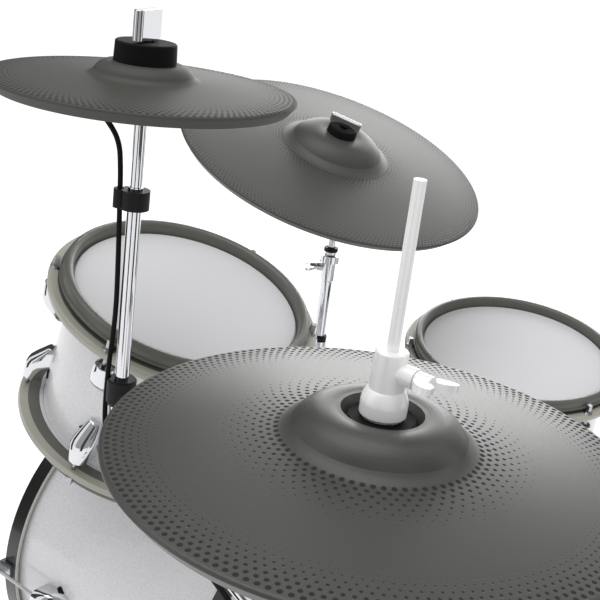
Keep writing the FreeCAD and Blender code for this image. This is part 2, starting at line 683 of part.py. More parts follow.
def make_kick_brackets():
    """Store the castings on the kick's shell and the two folding spurs."""
    top = KICK_AXIS_Z + math.sqrt(KICK_R ** 2 - POST_AT.x ** 2)
    base = Vector(POST_AT.x, POST_AT.y, top - 40)
    flange = Part.makeCylinder(HOLDER_FLANGE_R, 40 + 12, base)
    barrel = Part.makeCylinder(HOLDER_R, 40 + HOLDER_TALL, base)
    bore = Part.makeCylinder(POST_R + RUNNING_FIT, 40 + HOLDER_TALL + 2, base - UP)
    holder = fused(flange, barrel).cut([bore, kick_solid()])
    half = SPUR_BLOCK_HALF
    pivot_y = SPUR_Y
    block = box(Vector(KICK_R * 0.82, pivot_y - half, SPUR_Z - half),
                Vector(SPUR_BLOCK_OUT, pivot_y + half, SPUR_Z + half)).cut(kick_solid())
    hub_in = SPUR_BLOCK_OUT + CLEAR
    hub_out = hub_in + SPUR_HUB_WIDE
    across = Vector(1, 0, 0)
    pin = rod(Vector(SPUR_BLOCK_OUT - 4, pivot_y, SPUR_Z), Vector(hub_out + 4, pivot_y, SPUR_Z), SPUR_PIN_R)
    cap = rod(Vector(hub_out + CLEAR, pivot_y, SPUR_Z), Vector(hub_out + 4, pivot_y, SPUR_Z), SPUR_PIN_R + 4)
    bracket = fused(block, pin, cap)
    keep("kick_brackets", group([holder, bracket, bracket.mirror(Vector(0, 0, 0), across)]))
    hub = rod(Vector(hub_in, pivot_y, SPUR_Z), Vector(hub_out, pivot_y, SPUR_Z), SPUR_HUB_R)
    leg = rod(Vector((hub_in + hub_out) / 2, pivot_y, SPUR_Z), SPUR_TIP, SPUR_R)
    tip = Part.makeSphere(SPUR_TIP_R, SPUR_TIP)
    bore = rod(Vector(hub_in - 1, pivot_y, SPUR_Z), Vector(hub_out + 6, pivot_y, SPUR_Z),
               SPUR_PIN_R + RUNNING_FIT)
    cap_room = rod(Vector(hub_out, pivot_y, SPUR_Z), Vector(hub_out + 5, pivot_y, SPUR_Z),
                   SPUR_PIN_R + 4 + CLEAR)
    spur = fused(hub, leg, tip).cut([bore, cap_room])
    keep("kick_spur_right", spur)
    keep("kick_spur_left", spur.mirror(Vector(0, 0, 0), across))


# Stands

leg_solids = []
foot_solids = []


def way(degrees):
    """Level direction at an angle from +X."""
    return Vector(math.cos(math.radians(degrees)), math.sin(math.radians(degrees)), 0)


def tripod(at, hub_z, ring_z, spread, phase):
    """Add three legs with struts and rubber feet round a stand at a floor point."""
    hub = Part.makeCylinder(HUB_R, 140, Vector(at.x, at.y, hub_z - 70))
    ring = Part.makeCylinder(RING_R, 90, Vector(at.x, at.y, ring_z - 45))
    for k in range(3):
        out = way(phase + 120 * k)
        floor = Vector(at.x, at.y, 0) + out * spread
        foot = Part.makeCylinder(FOOT_R, FOOT_TALL, floor)
        start = Vector(at.x, at.y, hub_z) + out * 8
        end = floor + UP * (FOOT_TALL * 0.6)
        leg = rod(start, end, LEG_R)
        meet = start + (end - start) * 0.58
        strut = rod(Vector(at.x, at.y, ring_z) + out * 8, meet, STRUT_R).cut([ring, leg])
        leg_solids.append(leg.cut([hub, foot]))
        leg_solids.append(strut)
        foot_solids.append(foot)


def stand_tube(at, outer, inner, low, top, hub_z, ring_z):
    """A stand's base tube with the hub of its legs and the ring of its struts."""
    floor = Vector(at.x, at.y, 0)
    tube = Part.makeCylinder(outer, top - low, floor + UP * low)
    hub = Part.makeCylinder(HUB_R, HUB_TALL, floor + UP * (hub_z - HUB_TALL / 2))
    ring = Part.makeCylinder(RING_R, RING_TALL, floor + UP * (ring_z - RING_TALL / 2))
    return fused(tube, hub, ring).cut(Part.makeCylinder(inner, top, floor + UP * (low + TUBE_END)))


def wing_boss(at, out, tube_r):
    """Boss on a tube for a wing screw, with its outer face clear of the tube."""
    return rod(at, at + out * (tube_r + CLAMP_LUG), WING_BOSS_R)


def wing_bore(at, out, tube_r):
    """Room for the wing screw in its boss."""
    return rod(at, at + out * (tube_r + CLAMP_LUG + 1), WING_SCREW_R + RUNNING_FIT)


def wing_screw(at, out, inner_r, tube_r, roll):
    """Wing screw: shank that stops short of the inner rod, hub and two flared blades."""
    face = tube_r + CLAMP_LUG + CLEAR
    shank = Part.makeCylinder(WING_SCREW_R, face - inner_r - CLEAR, Vector(0, 0, inner_r + CLEAR))
    hub = Part.makeCylinder(WING_HUB_R, WING_HUB_LONG, Vector(0, 0, face))
    blades = []
    for side in (1, -1):
        lean = math.radians(BLADE_LEAN)
        along = Vector(side * math.cos(lean), 0, math.sin(lean))
        middle = Vector(side * BLADE_AT, BLADE_THICK / 2, face + BLADE_OUT)
        oval = Part.Ellipse(middle + along * BLADE_LONG,
                            middle + along.cross(Vector(0, 1, 0)) * BLADE_WIDE, middle).toShape()
        blades.append(Part.Face(Part.Wire([oval])).extrude(Vector(0, -BLADE_THICK, 0)))
    wing = turned(fused(shank, hub, *blades), roll)
    wing.Placement = Placement(at, Rotation(UP, out)).multiply(wing.Placement)
    return wing


# Cymbal pads, in their own frame: edge plane at z = 0, axis +Z


def bell_arc(inner_r, inner_z, outer_r, outer_z):
    """A point that swells a bell's side between two corners."""
    swell = 0.16
    return ((inner_r + outer_r) / 2 + swell * (inner_z - outer_z),
            (inner_z + outer_z) / 2 + swell * (outer_r - inner_r))


def pad(radius, bell_r, bell_base, crown):
    """A cymbal pad: `crown` lists the points from the hole to the start of the bell's side."""
    start_r, start_z = crown[-1]
    under_r = start_r - 4
    hole_r = crown[0][0]
    hole_z = crown[0][1] - PAD_THICK
    under_base = bell_base - PAD_THICK
    side_r = bell_r - (bell_r - start_r) * BELL_FILLET / 2
    side_z = bell_base + (start_z - bell_base) * BELL_FILLET
    foot_r = bell_r + (bell_r - start_r) * BELL_FILLET
    foot_z = bell_base * (radius - foot_r) / (radius - bell_r)
    hollow = ((side_r + 2 * bell_r + foot_r) / 4, (side_z + 2 * bell_base + foot_z) / 4)
    points = list(crown) + [(side_r, side_z), (foot_r, foot_z), (radius - 2.5, 0.9), (radius, -2),
                            (radius - PAD_UNDERCUT, -PAD_EDGE), (radius - 16, -PAD_EDGE + 2),
                            (bell_r + 1, under_base)]
    side_end = len(points)
    points += [(under_r, hole_z), (hole_r, hole_z)]
    begin = len(crown) - 1
    arcs = [(begin, bell_arc(start_r, start_z, side_r, side_z)), (begin + 1, hollow),
            (begin + 3, (radius - 0.5, -0.2)),
            (side_end - 1, bell_arc(*points[side_end], bell_r + 1, under_base))]
    return revolved(points, arcs)


def pad_seat(low_z, rod_r, seat_top, pin_top):
    """Rod end that carries a pad: cone seat and the thinner threaded pin above it."""
    return revolved([(0, low_z), (rod_r, low_z), (rod_r, seat_top - SEAT_TALL - 4),
                     (SEAT_R, seat_top - SEAT_TALL), (SEAT_R, seat_top - 2.5), (SEAT_TIP_R, seat_top),
                     (PIN_R, seat_top), (PIN_R, pin_top), (0, pin_top)])


def stopper(radius, tall, base_z):
    """Rubber stopper on a pad, drawn in a little towards its top."""
    top = base_z + tall
    upper = radius - STOPPER_DRAFT
    return revolved([(STOPPER_BORE_R, base_z), (radius, base_z), (upper, top - 1.2), (upper - 1.2, top),
                     (STOPPER_BORE_R, top)])


def plate_nut(tall, degrees):
    """Nut of a pad: an upright plate with round ends, closed over the pin. Lower face at z = 0."""
    end = (NUT_LONG - NUT_THICK) / 2
    half = NUT_THICK / 2
    plate = box(Vector(-end, -half, 0), Vector(end, half, tall))
    ends = [Part.makeCylinder(half, tall, Vector(side * end, 0, 0)) for side in (-1, 1)]
    nut = fused(plate, *ends)
    nut = nut.makeFillet(1.6, [edge for edge in nut.Edges if edge.BoundBox.ZMin > tall - 0.01])
    return turned(nut.cut(Part.makeCylinder(PIN_R + RUNNING_FIT, tall - NUT_ROOF)), degrees)


def make_hat():
    """Store the hi-hat: pad, clutch, pull rod, sensor, tubes, pedal frame and footboard."""
    level = Placement(HAT_AT, Rotation())
    floor_z = HAT_BELL_TOP - HAT_WELL_DEEP
    crown = [(PAD_HOLE_R, floor_z), (HAT_WELL_FLOOR_R, floor_z), (HAT_WELL_R, HAT_BELL_TOP),
             (HAT_WELL_R + 3, HAT_BELL_TOP)]
    keep("hat_pad", placed(pad(HAT_R, HAT_BELL_R, HAT_BELL_BASE, crown), level))
    bush_top = floor_z + 5.0
    bush_r = HAT_WELL_FLOOR_R - 1.5
    bush = revolved([(PAD_HOLE_R, floor_z), (bush_r, floor_z), (bush_r, bush_top), (PAD_HOLE_R, bush_top)])
    keep("hat_bush", placed(bush, level))
    under = floor_z - PAD_THICK - CLEAR
    barrel = bush_top + CLEAR
    tube = barrel + CLUTCH_BARREL_TALL
    top = tube + CLUTCH_TUBE_TALL
    bore = HAT_ROD_R + RUNNING_FIT
    waist = barrel + CLUTCH_BARREL_TALL * 0.45
    swell = (CLUTCH_BARREL_R - 0.8, (waist + tube) / 2 + 1)
    clutch = revolved([(bore, under - CLUTCH_NUT_TALL), (CLUTCH_NUT_R, under - CLUTCH_NUT_TALL),
                       (CLUTCH_NUT_R, under), (CLUTCH_SLEEVE_R, under), (CLUTCH_SLEEVE_R, barrel),
                       (CLUTCH_BARREL_R - 2, barrel), (CLUTCH_BARREL_R, barrel + 2.5),
                       (CLUTCH_BARREL_R, waist), (CLUTCH_TUBE_R + 0.8, tube), (CLUTCH_TUBE_R, tube + 0.8),
                       (CLUTCH_TUBE_R - 0.6, top - 1), (CLUTCH_TUBE_R - 1.6, top), (bore, top)], [(7, swell)])
    wing_at = Vector(0, 0, tube + CLUTCH_TUBE_TALL * 0.52)
    wing_way = Vector(0, -1, 0)
    inside = Part.makeCylinder(bore, 200, Vector(0, 0, -20))
    clutch = fused(clutch, wing_boss(wing_at, wing_way, CLUTCH_TUBE_R).cut(inside))
    clutch = clutch.cut(wing_bore(wing_at, wing_way, CLUTCH_TUBE_R))
    keep("hat_clutch", placed(clutch, level))
    keep("hat_clutch_wing", placed(wing_screw(wing_at, wing_way, HAT_ROD_R, CLUTCH_TUBE_R, -12), level))

    sensor_low = -SENSOR_DROP - SENSOR_TALL
    sensor = revolved([(SENSOR_BORE_R, -SENSOR_DROP), (SENSOR_R - 6, -SENSOR_DROP),
                       (SENSOR_R, -SENSOR_DROP - 8), (SENSOR_R, sensor_low),
                       (HAT_ROD_R + 3, sensor_low), (HAT_ROD_R + 3, sensor_low + 6),
                       (SENSOR_BORE_R, sensor_low + 6)])
    keep("hat_sensor", placed(sensor, level))
    cup = HAT_AT.z + sensor_low
    upper = revolved([(bore, cup), (22, cup), (22, cup - 8), (HAT_UPPER_R, cup - 14),
                      (HAT_UPPER_R, HAT_UPPER_LOW), (HAT_ROD_R + 2, HAT_UPPER_LOW),
                      (HAT_ROD_R + 2, cup - 14), (bore, cup - 14)])
    at_floor = Vector(HAT_AT.x, HAT_AT.y, 0)
    keep("hat_upper_tube", upper.translated(at_floor))

    # Pedal, in a frame whose X runs from the pull rod to the heel
    turn = Placement(at_floor, Rotation(UP, PEDAL_TURN))
    rise = PEDAL_TOE_Z - PEDAL_HEEL_Z
    run = PEDAL_LONG - PEDAL_TOE_X
    slope = math.atan2(rise, run)
    heel = Vector(PEDAL_LONG, 0, PEDAL_HEEL_Z)
    length = math.hypot(rise, run)
    half = PEDAL_WIDE / 2
    toe = PEDAL_TOE_WIDE / 2
    outline = [Vector(0, -half * 0.7, 0), Vector(-24, -half, 0), Vector(-length * 0.55, -half, 0),
               Vector(-length + 14, -toe, 0), Vector(-length, -toe + 14, 0), Vector(-length, toe - 14, 0),
               Vector(-length + 14, toe, 0), Vector(-length * 0.55, half, 0), Vector(-24, half, 0),
               Vector(0, half * 0.7, 0)]
    board = Part.Face(Part.makePolygon(outline + outline[:1])).extrude(Vector(0, 0, -PEDAL_THICK))
    board = board.cut(box(Vector(-PEDAL_BARREL_R - 4, -half, -PEDAL_THICK), Vector(1, -EAR_IN, 0)))
    board = board.cut(box(Vector(-PEDAL_BARREL_R - 4, EAR_IN, -PEDAL_THICK), Vector(1, half, 0)))
    board.rotate(Vector(0, 0, 0), Vector(0, 1, 0), math.degrees(slope))
    barrel_end = EAR_IN - CLEAR
    barrel = rod(Vector(0, -barrel_end, 0), Vector(0, barrel_end, 0), PEDAL_BARREL_R)
    pin_room = rod(Vector(0, -half, 0), Vector(0, half, 0), PEDAL_PIN_R + RUNNING_FIT)
    board = fused(board, barrel).cut(pin_room).translated(heel)
    keep("hat_footboard", placed(board, turn))

    def underside(x, angle):
        return PEDAL_HEEL_Z + (PEDAL_LONG - x) * math.tan(angle) - PEDAL_THICK / math.cos(angle)

    pressed = slope - math.radians(PEDAL_SWING)
    travel = underside(HOOK_X, slope) - underside(HOOK_X, pressed) + CLEAR
    hook_top = underside(HOOK_X + 8, slope) - 0.7
    yoke_low = hook_top + 18
    rod_top = HAT_AT.z + HAT_ROD_TOP
    neck = yoke_low + HAT_STEM_TALL
    stem = Part.makeCylinder(HAT_STEM_R, neck - hook_top, Vector(0, 0, hook_top))
    upper_rod = Part.makeCylinder(HAT_ROD_R, rod_top - neck, Vector(0, 0, neck))
    hook = box(Vector(-HAT_STEM_R, -9, hook_top - 5), Vector(HOOK_X + 8, 9, hook_top))
    keep("hat_pull_rod", placed(fused(stem, upper_rod, hook), turn))

    yoke_top = yoke_low + 30
    side = PEDAL_WIDE / 2 + 3
    yoke = box(Vector(-15, -side - 9, yoke_low), Vector(15, side + 9, yoke_top))
    posts = [box(Vector(-11, sign * (side + 4.5) - 4.5, 0), Vector(11, sign * (side + 4.5) + 4.5, yoke_low))
             for sign in (-1, 1)]
    cross = box(Vector(-11, -side - 9, 0), Vector(11, side + 9, 7))
    plate = box(Vector(-11, -20, 0), Vector(PEDAL_LONG + 14, 20, 7))
    ears = [box(Vector(PEDAL_LONG - 12, sign * (EAR_IN + 4) - 4, 0),
                Vector(PEDAL_LONG + 12, sign * (EAR_IN + 4) + 4, PEDAL_HEEL_Z + 12)) for sign in (-1, 1)]
    tie = box(Vector(PEDAL_LONG - 12, -EAR_IN - 8, 0), Vector(PEDAL_LONG + 12, EAR_IN + 8, 7))
    pin = rod(Vector(PEDAL_LONG, -EAR_IN - 8, PEDAL_HEEL_Z),
              Vector(PEDAL_LONG, EAR_IN + 8, PEDAL_HEEL_Z), PEDAL_PIN_R)
    lower = Part.makeCylinder(HAT_BASE_R, HAT_BASE_TOP - yoke_low, Vector(0, 0, yoke_low))
    hub = Part.makeCylinder(HUB_R, HUB_TALL, Vector(0, 0, HAT_HUB_Z - HUB_TALL / 2))
    ring = Part.makeCylinder(RING_R, RING_TALL, Vector(0, 0, yoke_top + 4))
    lock = Part.makeCylinder(HAT_BASE_R + 5, 34, Vector(0, 0, HAT_BASE_TOP - 34))
    frame = fused(yoke, *posts, cross, plate, *ears, tie, pin, lower, hub, ring, lock)
    wide_bore = Part.makeCylinder(HAT_UPPER_R + RUNNING_FIT, HAT_BASE_TOP, Vector(0, 0, HAT_UPPER_LOW - 90))
    rod_bore = Part.makeCylinder(HAT_ROD_R + 2, HAT_BASE_TOP, Vector(0, 0, yoke_low - 1))
    keep("hat_frame", placed(frame.cut([wide_bore, rod_bore]), turn))
    tripod(HAT_AT, HAT_HUB_Z, yoke_top + 4 + RING_TALL / 2, HAT_FOOT_SPREAD, PEDAL_TURN + 60)
    heel_world = turn.multVec(heel)
    print("pedal heel", heel_world, "axis", turn.Rotation.multVec(Vector(0, 1, 0)), "travel", travel)
    print("hat wing at", HAT_AT + wing_at, wing_way)


def make_crash():
    """Store the crash: pad, stopper, nut, rod, clip, collar, wing screw and arm."""
    level = Placement(CRASH_AT, Rotation())
    crown = [(PAD_HOLE_R, CRASH_BELL_TOP), (STOPPER_R + 1.5, CRASH_BELL_TOP)]
    keep("crash_pad", placed(pad(CRASH_R, CRASH_BELL_R, CRASH_BELL_BASE, crown), level))
    keep("crash_stopper", placed(stopper(STOPPER_R, STOPPER_TALL, CRASH_BELL_TOP), level))
    nut_low = CRASH_BELL_TOP + STOPPER_TALL + NUT_GAP
    nut = plate_nut(CRASH_NUT_TALL, CRASH_NUT_TURN).translated(Vector(0, 0, nut_low))
    keep("crash_nut", placed(nut, level))
    seat = CRASH_BELL_TOP - PAD_THICK - SEAT_GAP
    step = CRASH_STEP_Z - CRASH_AT.z
    low = CRASH_COLLAR_TOP - CRASH_ROD_IN - CRASH_AT.z
    upper = pad_seat(step, CRASH_ROD_R, seat, nut_low + CRASH_NUT_TALL - NUT_ROOF - CLEAR)
    lower = Part.makeCylinder(CRASH_LOWER_R, step - low, Vector(0, 0, low))
    keep("crash_rod", placed(group([upper, lower]), level))
    left = CABLE_WAY
    clip_low = CLIP_Z - CLIP_TALL / 2 - CRASH_AT.z
    clip = Part.makeCylinder(CLIP_R, CLIP_TALL, Vector(0, 0, clip_low))
    ear = Part.makeCylinder(CABLE_R + 4, CLIP_TALL, left * CLIP_CABLE + UP * clip_low)
    holes = [Part.makeCylinder(CRASH_LOWER_R + RUNNING_FIT, 60, Vector(0, 0, clip_low - 20)),
             Part.makeCylinder(CABLE_R + 0.8, 60, left * CLIP_CABLE + UP * (clip_low - 20))]
    keep("crash_cable_clip", placed(fused(clip, ear).cut(holes), level))
    collar_low = CRASH_COLLAR_TOP - CRASH_COLLAR_TALL
    shelf = collar_low + 8
    bore = CRASH_LOWER_R + RUNNING_FIT
    ring = revolved([(bore, CRASH_COLLAR_TOP), (CRASH_COLLAR_R - 1.5, CRASH_COLLAR_TOP),
                     (CRASH_COLLAR_R, CRASH_COLLAR_TOP - 1.5), (CRASH_COLLAR_R, collar_low + 4),
                     (CRASH_COLLAR_R - 2, collar_low), (SOCKET_R, collar_low), (SOCKET_R, shelf),
                     (bore, shelf)])
    notch = box(Vector(SOCKET_R + CLEAR, -CABLE_R - 0.6, collar_low - 1),
                Vector(CRASH_COLLAR_R + 5, CABLE_R + 0.6, CRASH_COLLAR_TOP + 1))
    notch = turned(notch, math.degrees(math.atan2(left.y, left.x)))
    at_floor = Vector(CRASH_AT.x, CRASH_AT.y, 0)
    keep("crash_collar", ring.cut(notch).translated(at_floor))
    socket = Part.makeCylinder(SOCKET_R, shelf - SOCKET_LOW, at_floor + UP * SOCKET_LOW)
    room = Part.makeCylinder(CRASH_LOWER_R + HOLE_CLEAR, shelf, at_floor + UP * (SOCKET_LOW + TUBE_END))
    clamp_low = Vector(HAT_AT.x, HAT_AT.y, ARM_CLAMP_Z - ARM_CLAMP_TALL / 2)
    clamp = Part.makeCylinder(ARM_CLAMP_R, ARM_CLAMP_TALL, clamp_low)
    post = Part.makeCylinder(HAT_UPPER_R + RUNNING_FIT, ARM_CLAMP_TALL + 2, clamp_low - UP)
    wing_at = at_floor + UP * CRASH_WING_Z
    wing_way = Vector(0.8, 0.6, 0)
    boss = wing_boss(wing_at, wing_way, SOCKET_R)
    arm = fused(socket, clamp, rod(ARM_START, ARM_END, ARM_R), boss)
    keep("crash_arm", arm.cut([room, post, wing_bore(wing_at, wing_way, SOCKET_R)]))
    keep("crash_wing", wing_screw(wing_at, wing_way, CRASH_LOWER_R, SOCKET_R, 20))
    print("crash seat", CRASH_AT + UP * seat, "wing", wing_at, wing_way)


def make_ride():
    """Store the ride: pad, stopper, nut, tilter, height rod, tubes and wing screw."""
    up = Vector(RIDE_AXIS).normalize()
    lean = Vector(up.x, up.y, 0).normalize()
    hinge_way = Vector(-lean.y, lean.x, 0)
    down_slope = hinge_way.cross(up)
    tilted = Placement(RIDE_AT, Rotation(down_slope, hinge_way, up, "ZXY"))
    crown = [(PAD_HOLE_R, RIDE_BELL_TOP), (RIDE_BUSH_R + 1.5, RIDE_BELL_TOP)]
    keep("ride_pad", placed(pad(RIDE_R, RIDE_BELL_R, RIDE_BELL_BASE, crown), tilted))
    keep("ride_stopper", placed(stopper(RIDE_BUSH_R, RIDE_BUSH_TALL, RIDE_BELL_TOP), tilted))
    nut_low = RIDE_BELL_TOP + RIDE_BUSH_TALL + NUT_GAP
    nut = plate_nut(RIDE_NUT_TALL, RIDE_NUT_TURN).translated(Vector(0, 0, nut_low))
    keep("ride_nut", placed(nut, tilted))
    seat = RIDE_BELL_TOP - PAD_THICK - SEAT_GAP
    pin_top = nut_low + RIDE_NUT_TALL - NUT_ROOF - CLEAR

    hinge = Vector(RIDE_STAND.x, RIDE_STAND.y, RIDE_HINGE_Z)
    local = tilted.inverse().multVec(hinge)
    half = TILT_DISC_WIDE / 2
    disc = rod(Vector(local.x, -half, local.z), Vector(local.x, half, local.z), TILT_DISC_R)
    arm = box(Vector(-RIDE_ROD_R - 1, -half, local.z - 7), Vector(local.x, half, local.z + 7))
    stem = pad_seat(local.z - 4, RIDE_ROD_R, seat, pin_top)
    pin_room = rod(Vector(local.x, -40, local.z), Vector(local.x, 40, local.z), TILT_PIN_R + RUNNING_FIT)
    keep("ride_tilter", placed(fused(disc, arm, stem).cut(pin_room), tilted))
    lower_in = half + CLEAR
    centre = Placement(hinge, Rotation(down_slope, hinge_way, up, "ZXY"))
    shift = lower_in - local.y
    plate = rod(Vector(0, shift, 0), Vector(0, shift + TILT_DISC_WIDE, 0), TILT_DISC_R)
    pin = rod(Vector(0, -local.y - half - CLEAR - 4, 0), Vector(0, shift + 1, 0), TILT_PIN_R)
    cap = rod(Vector(0, -local.y - half - CLEAR - 4, 0), Vector(0, -local.y - half - CLEAR, 0),
              TILT_PIN_R + 4)
    knuckle = placed(fused(plate, pin, cap), centre)
    foot = Vector(hinge.x, hinge.y, RIDE_UPPER_TOP - RIDE_ROD_IN)
    keep("ride_height_rod", fused(rod(foot, hinge, RIDE_ROD_R), knuckle))

    at_floor = Vector(RIDE_STAND.x, RIDE_STAND.y, 0)
    top = RIDE_UPPER_TOP
    guide = RIDE_ROD_R + RUNNING_FIT
    low = RIDE_BASE_TOP - RIDE_UPPER_IN
    upper = revolved([(guide, top), (10, top), (10, top - 5), (16.5, top - 6), (16.5, top - 18),
                      (11.5, top - 19), (11.5, top - 50), (RIDE_UPPER_R, top - 52),
                      (RIDE_UPPER_R, low), (guide + 0.6, low), (guide + 0.6, top - 50),
                      (guide, top - 50)]).translated(at_floor)
    wing_at = at_floor + UP * (top - 29)
    wing_way = Vector(-0.634, 0.773, 0)
    inside = Part.makeCylinder(guide, 80, at_floor + UP * (top - 60))
    boss = wing_boss(wing_at, wing_way, 11.5).cut(inside)
    keep("ride_upper_tube", fused(upper, boss).cut(wing_bore(wing_at, wing_way, 11.5)))
    keep("ride_wing", wing_screw(wing_at, wing_way, RIDE_ROD_R, 11.5, 39))
    tube = stand_tube(RIDE_STAND, RIDE_BASE_R, RIDE_UPPER_R + RUNNING_FIT, TUBE_LOW, RIDE_BASE_TOP,
                      RIDE_HUB_Z, RIDE_RING_Z)
    bush = Part.makeCylinder(RIDE_BASE_R + 1.8, 16, at_floor + UP * (RIDE_BASE_TOP - 14))
    bush = bush.cut(Part.makeCylinder(RIDE_UPPER_R + RUNNING_FIT, RIDE_BASE_TOP + 10, at_floor))
    keep("ride_base_tube", fused(tube, bush))
    tripod(RIDE_STAND, RIDE_HUB_Z, RIDE_RING_Z, RIDE_FOOT_SPREAD, -6)
    print("ride hinge", hinge, hinge_way, "seat", tilted.multVec(Vector(0, 0, seat)), "up", up,
          "slope", down_slope, "wing", wing_at, wing_way)


def make_floor_tom():
    """Store the floor tom with its leg brackets and legs; give back its trigger."""
    frame = axis_frame(FLOOR_AT, FLOOR_AXIS)
    sensor = make_drum("floor_tom", FLOOR_R, FLOOR_HEIGHT, FLOOR_LUGS, FLOOR_LUG_PHASE, frame)
    down = frame.Rotation.multVec(Vector(0, 0, -1))
    reach = FLOOR_R + FLOOR_LEG_OUT
    half = LEG_BRACKET_WIDE / 2
    low = -LEG_BRACKET_DROP - LEG_BRACKET_TALL
    shell = Part.makeCylinder(FLOOR_R, FLOOR_HEIGHT, Vector(0, 0, -FLOOR_HEIGHT))
    block = box(Vector(FLOOR_R - 4, -half, low), Vector(reach + 6, half, low + LEG_BRACKET_TALL))
    clamp = Part.makeCylinder(half, LEG_BRACKET_TALL, Vector(reach, 0, low))
    bore = Part.makeCylinder(FLOOR_LEG_R + RUNNING_FIT, FLOOR_HEIGHT, Vector(reach, 0, -FLOOR_HEIGHT))
    bracket = fused(block, clamp).cut([bore, shell])
    keep("floor_tom_leg_brackets", placed(group(ring_of(bracket, 3, FLOOR_LEG_PHASE)), frame))
    legs = []
    for x, y in around(reach, 3, FLOOR_LEG_PHASE):
        top = frame.multVec(Vector(x, y, -FLOOR_LEG_TOP))
        end = top + down * ((top.z - FOOT_TALL * 0.5) / -down.z)
        foot = Part.makeCylinder(FOOT_R, FOOT_TALL, Vector(end.x, end.y, 0))
        legs.append(rod(top, end, FLOOR_LEG_R).cut(foot))
        foot_solids.append(foot)
    keep("floor_tom_legs", group(legs))
    return sensor


def make_snare():
    """Store the snare and its basket stand; give back its trigger."""
    sensor = make_drum("snare", SNARE_R, SNARE_HEIGHT, SNARE_LUGS, SNARE_LUG_PHASE,
                       Placement(SNARE_AT, Rotation()))
    at_floor = Vector(SNARE_AT.x, SNARE_AT.y, 0)
    rim_low = SNARE_AT.z - SNARE_HEIGHT
    hub_z = rim_low - SNARE_HUB_DROP
    tube = stand_tube(SNARE_AT, SNARE_TUBE_R, SNARE_TUBE_R - 2, TUBE_LOW, hub_z, SNARE_LEG_HUB_Z, RING_Z)
    hub = Part.makeCylinder(HUB_R, HUB_TALL, at_floor + UP * (hub_z - HUB_TALL / 2))
    arms = []
    for k in range(3):
        out = way(30 + 120 * k)
        tip = at_floor + out * (SNARE_R + RIM_OUT - RIM_WALL / 2) + UP * (rim_low - BASKET_PAD_TALL)
        arms.append(rod(at_floor + out * 8 + UP * hub_z, tip + UP * 3, BASKET_ARM_R))
        arms.append(Part.makeCylinder(BASKET_PAD_R, BASKET_PAD_TALL, tip))
    keep("snare_stand", fused(tube, hub, *arms))
    tripod(SNARE_AT, SNARE_LEG_HUB_Z, RING_Z, SNARE_FOOT_SPREAD, 30)
    return sensor


# Cable of the crash pad


def arc_between(start, heading, end):
    """The arc that leaves a point along a heading and reaches another point."""
    chord = end - start
    along = Vector(chord).normalize()
    side = heading - along * heading.dot(along)
    if side.Length < 1e-6:
        return Part.LineSegment(start, end).toShape()
    angle = math.acos(max(-1.0, min(1.0, heading.dot(along))))
    middle = (start + end) * 0.5 + Vector(side).normalize() * (chord.Length / 2 * math.tan(angle / 2))
    return Part.Arc(start, middle, end).toShape()


def biarc(start, heading, end, end_heading):
    """Two tangent arcs between two points with given headings."""
    chord = end - start
    total = heading + end_heading
    spread = 2 * (1 - heading.dot(end_heading))
    reach = chord.dot(total)
    if spread < 1e-9:
        step = chord.dot(chord) / (4 * chord.dot(heading))
    else:
        step = (math.sqrt(reach ** 2 + spread * chord.dot(chord)) - reach) / spread
    joint = (start + heading * step + end - end_heading * step) * 0.5
    across = Vector(end - end_heading * step - start - heading * step).normalize()
    return [arc_between(start, heading, joint), arc_between(joint, across, end)]


def swept(edges, start, heading, radius):
    """A round tube along a path."""
    ring = Part.Wire([Part.Circle(start, heading, radius).toShape()])
    shell = Part.BRepOffsetAPI.MakePipeShell(Part.Wire(edges))
    shell.add(ring)
    shell.build()
    shell.makeSolid()
    return shell.shape()


def rounded_route(points):
    """Straight runs joined by tangent arcs; prints the least bend radius."""
    edges = []
    least = 1e9
    at = points[0]
    for before, corner, after in zip(points, points[1:], points[2:]):
        first = corner - before
        second = after - corner
        turn = first.getAngle(second)
        short = min(first.Length, second.Length)
        cut = 0.45 * short
        least = min(least, cut / math.tan(turn / 2))
        enter = corner - Vector(first).normalize() * cut
        leave = corner + Vector(second).normalize() * cut
        edges.append(Part.LineSegment(at, enter).toShape())
        edges.append(arc_between(enter, Vector(first).normalize(), leave))
        at = leave
    edges.append(Part.LineSegment(at, points[-1]).toShape())
    print("cable least bend radius", round(least, 1))
    return edges


def cable_points():
    """The cable's route: beside the rod, round the socket, along the arm and down the hi-hat stand."""
    rod_foot = Vector(CRASH_X, CRASH_Y, 0)
    points = [rod_foot + CABLE_WAY * out + UP * z for out, z in CABLE_DROP]
    turn, out, z = CABLE_ROUND
    points.append(rod_foot + way(turn) * out + UP * z)
    along = Vector(ARM_END - ARM_START).normalize()
    beside = Vector(along.y, -along.x, 0).normalize() * CABLE_BESIDE
    points.append(ARM_START + along * CABLE_JOINS + beside)
    points.append(ARM_END - along * CABLE_LEAVES + beside)
    stand_foot = Vector(HAT_X, HAT_Y, 0)
    return points + [stand_foot + COIL_WAY * out + UP * z for out, z in CABLE_FOOT]


def coil_point(centre, turn, total):
    """Position on the coil after some turns: in for half of them, then out a layer higher."""
    pitch = 2 * CABLE_R + COIL_GAP
    inward = total / 2 - abs(turn - total / 2)
    radius = COIL_OUTER - pitch * inward
    climb = max(0.0, min(1.0, (turn - total / 2) / 0.5 + 0.5))
    lift = pitch * climb * climb * (3 - 2 * climb)
    angle = 2 * math.pi * turn
    side = Vector(COIL_WAY.y, -COIL_WAY.x, 0)
    return centre + COIL_WAY * (radius * math.sin(angle)) - side * (radius * math.cos(angle)) + UP * lift


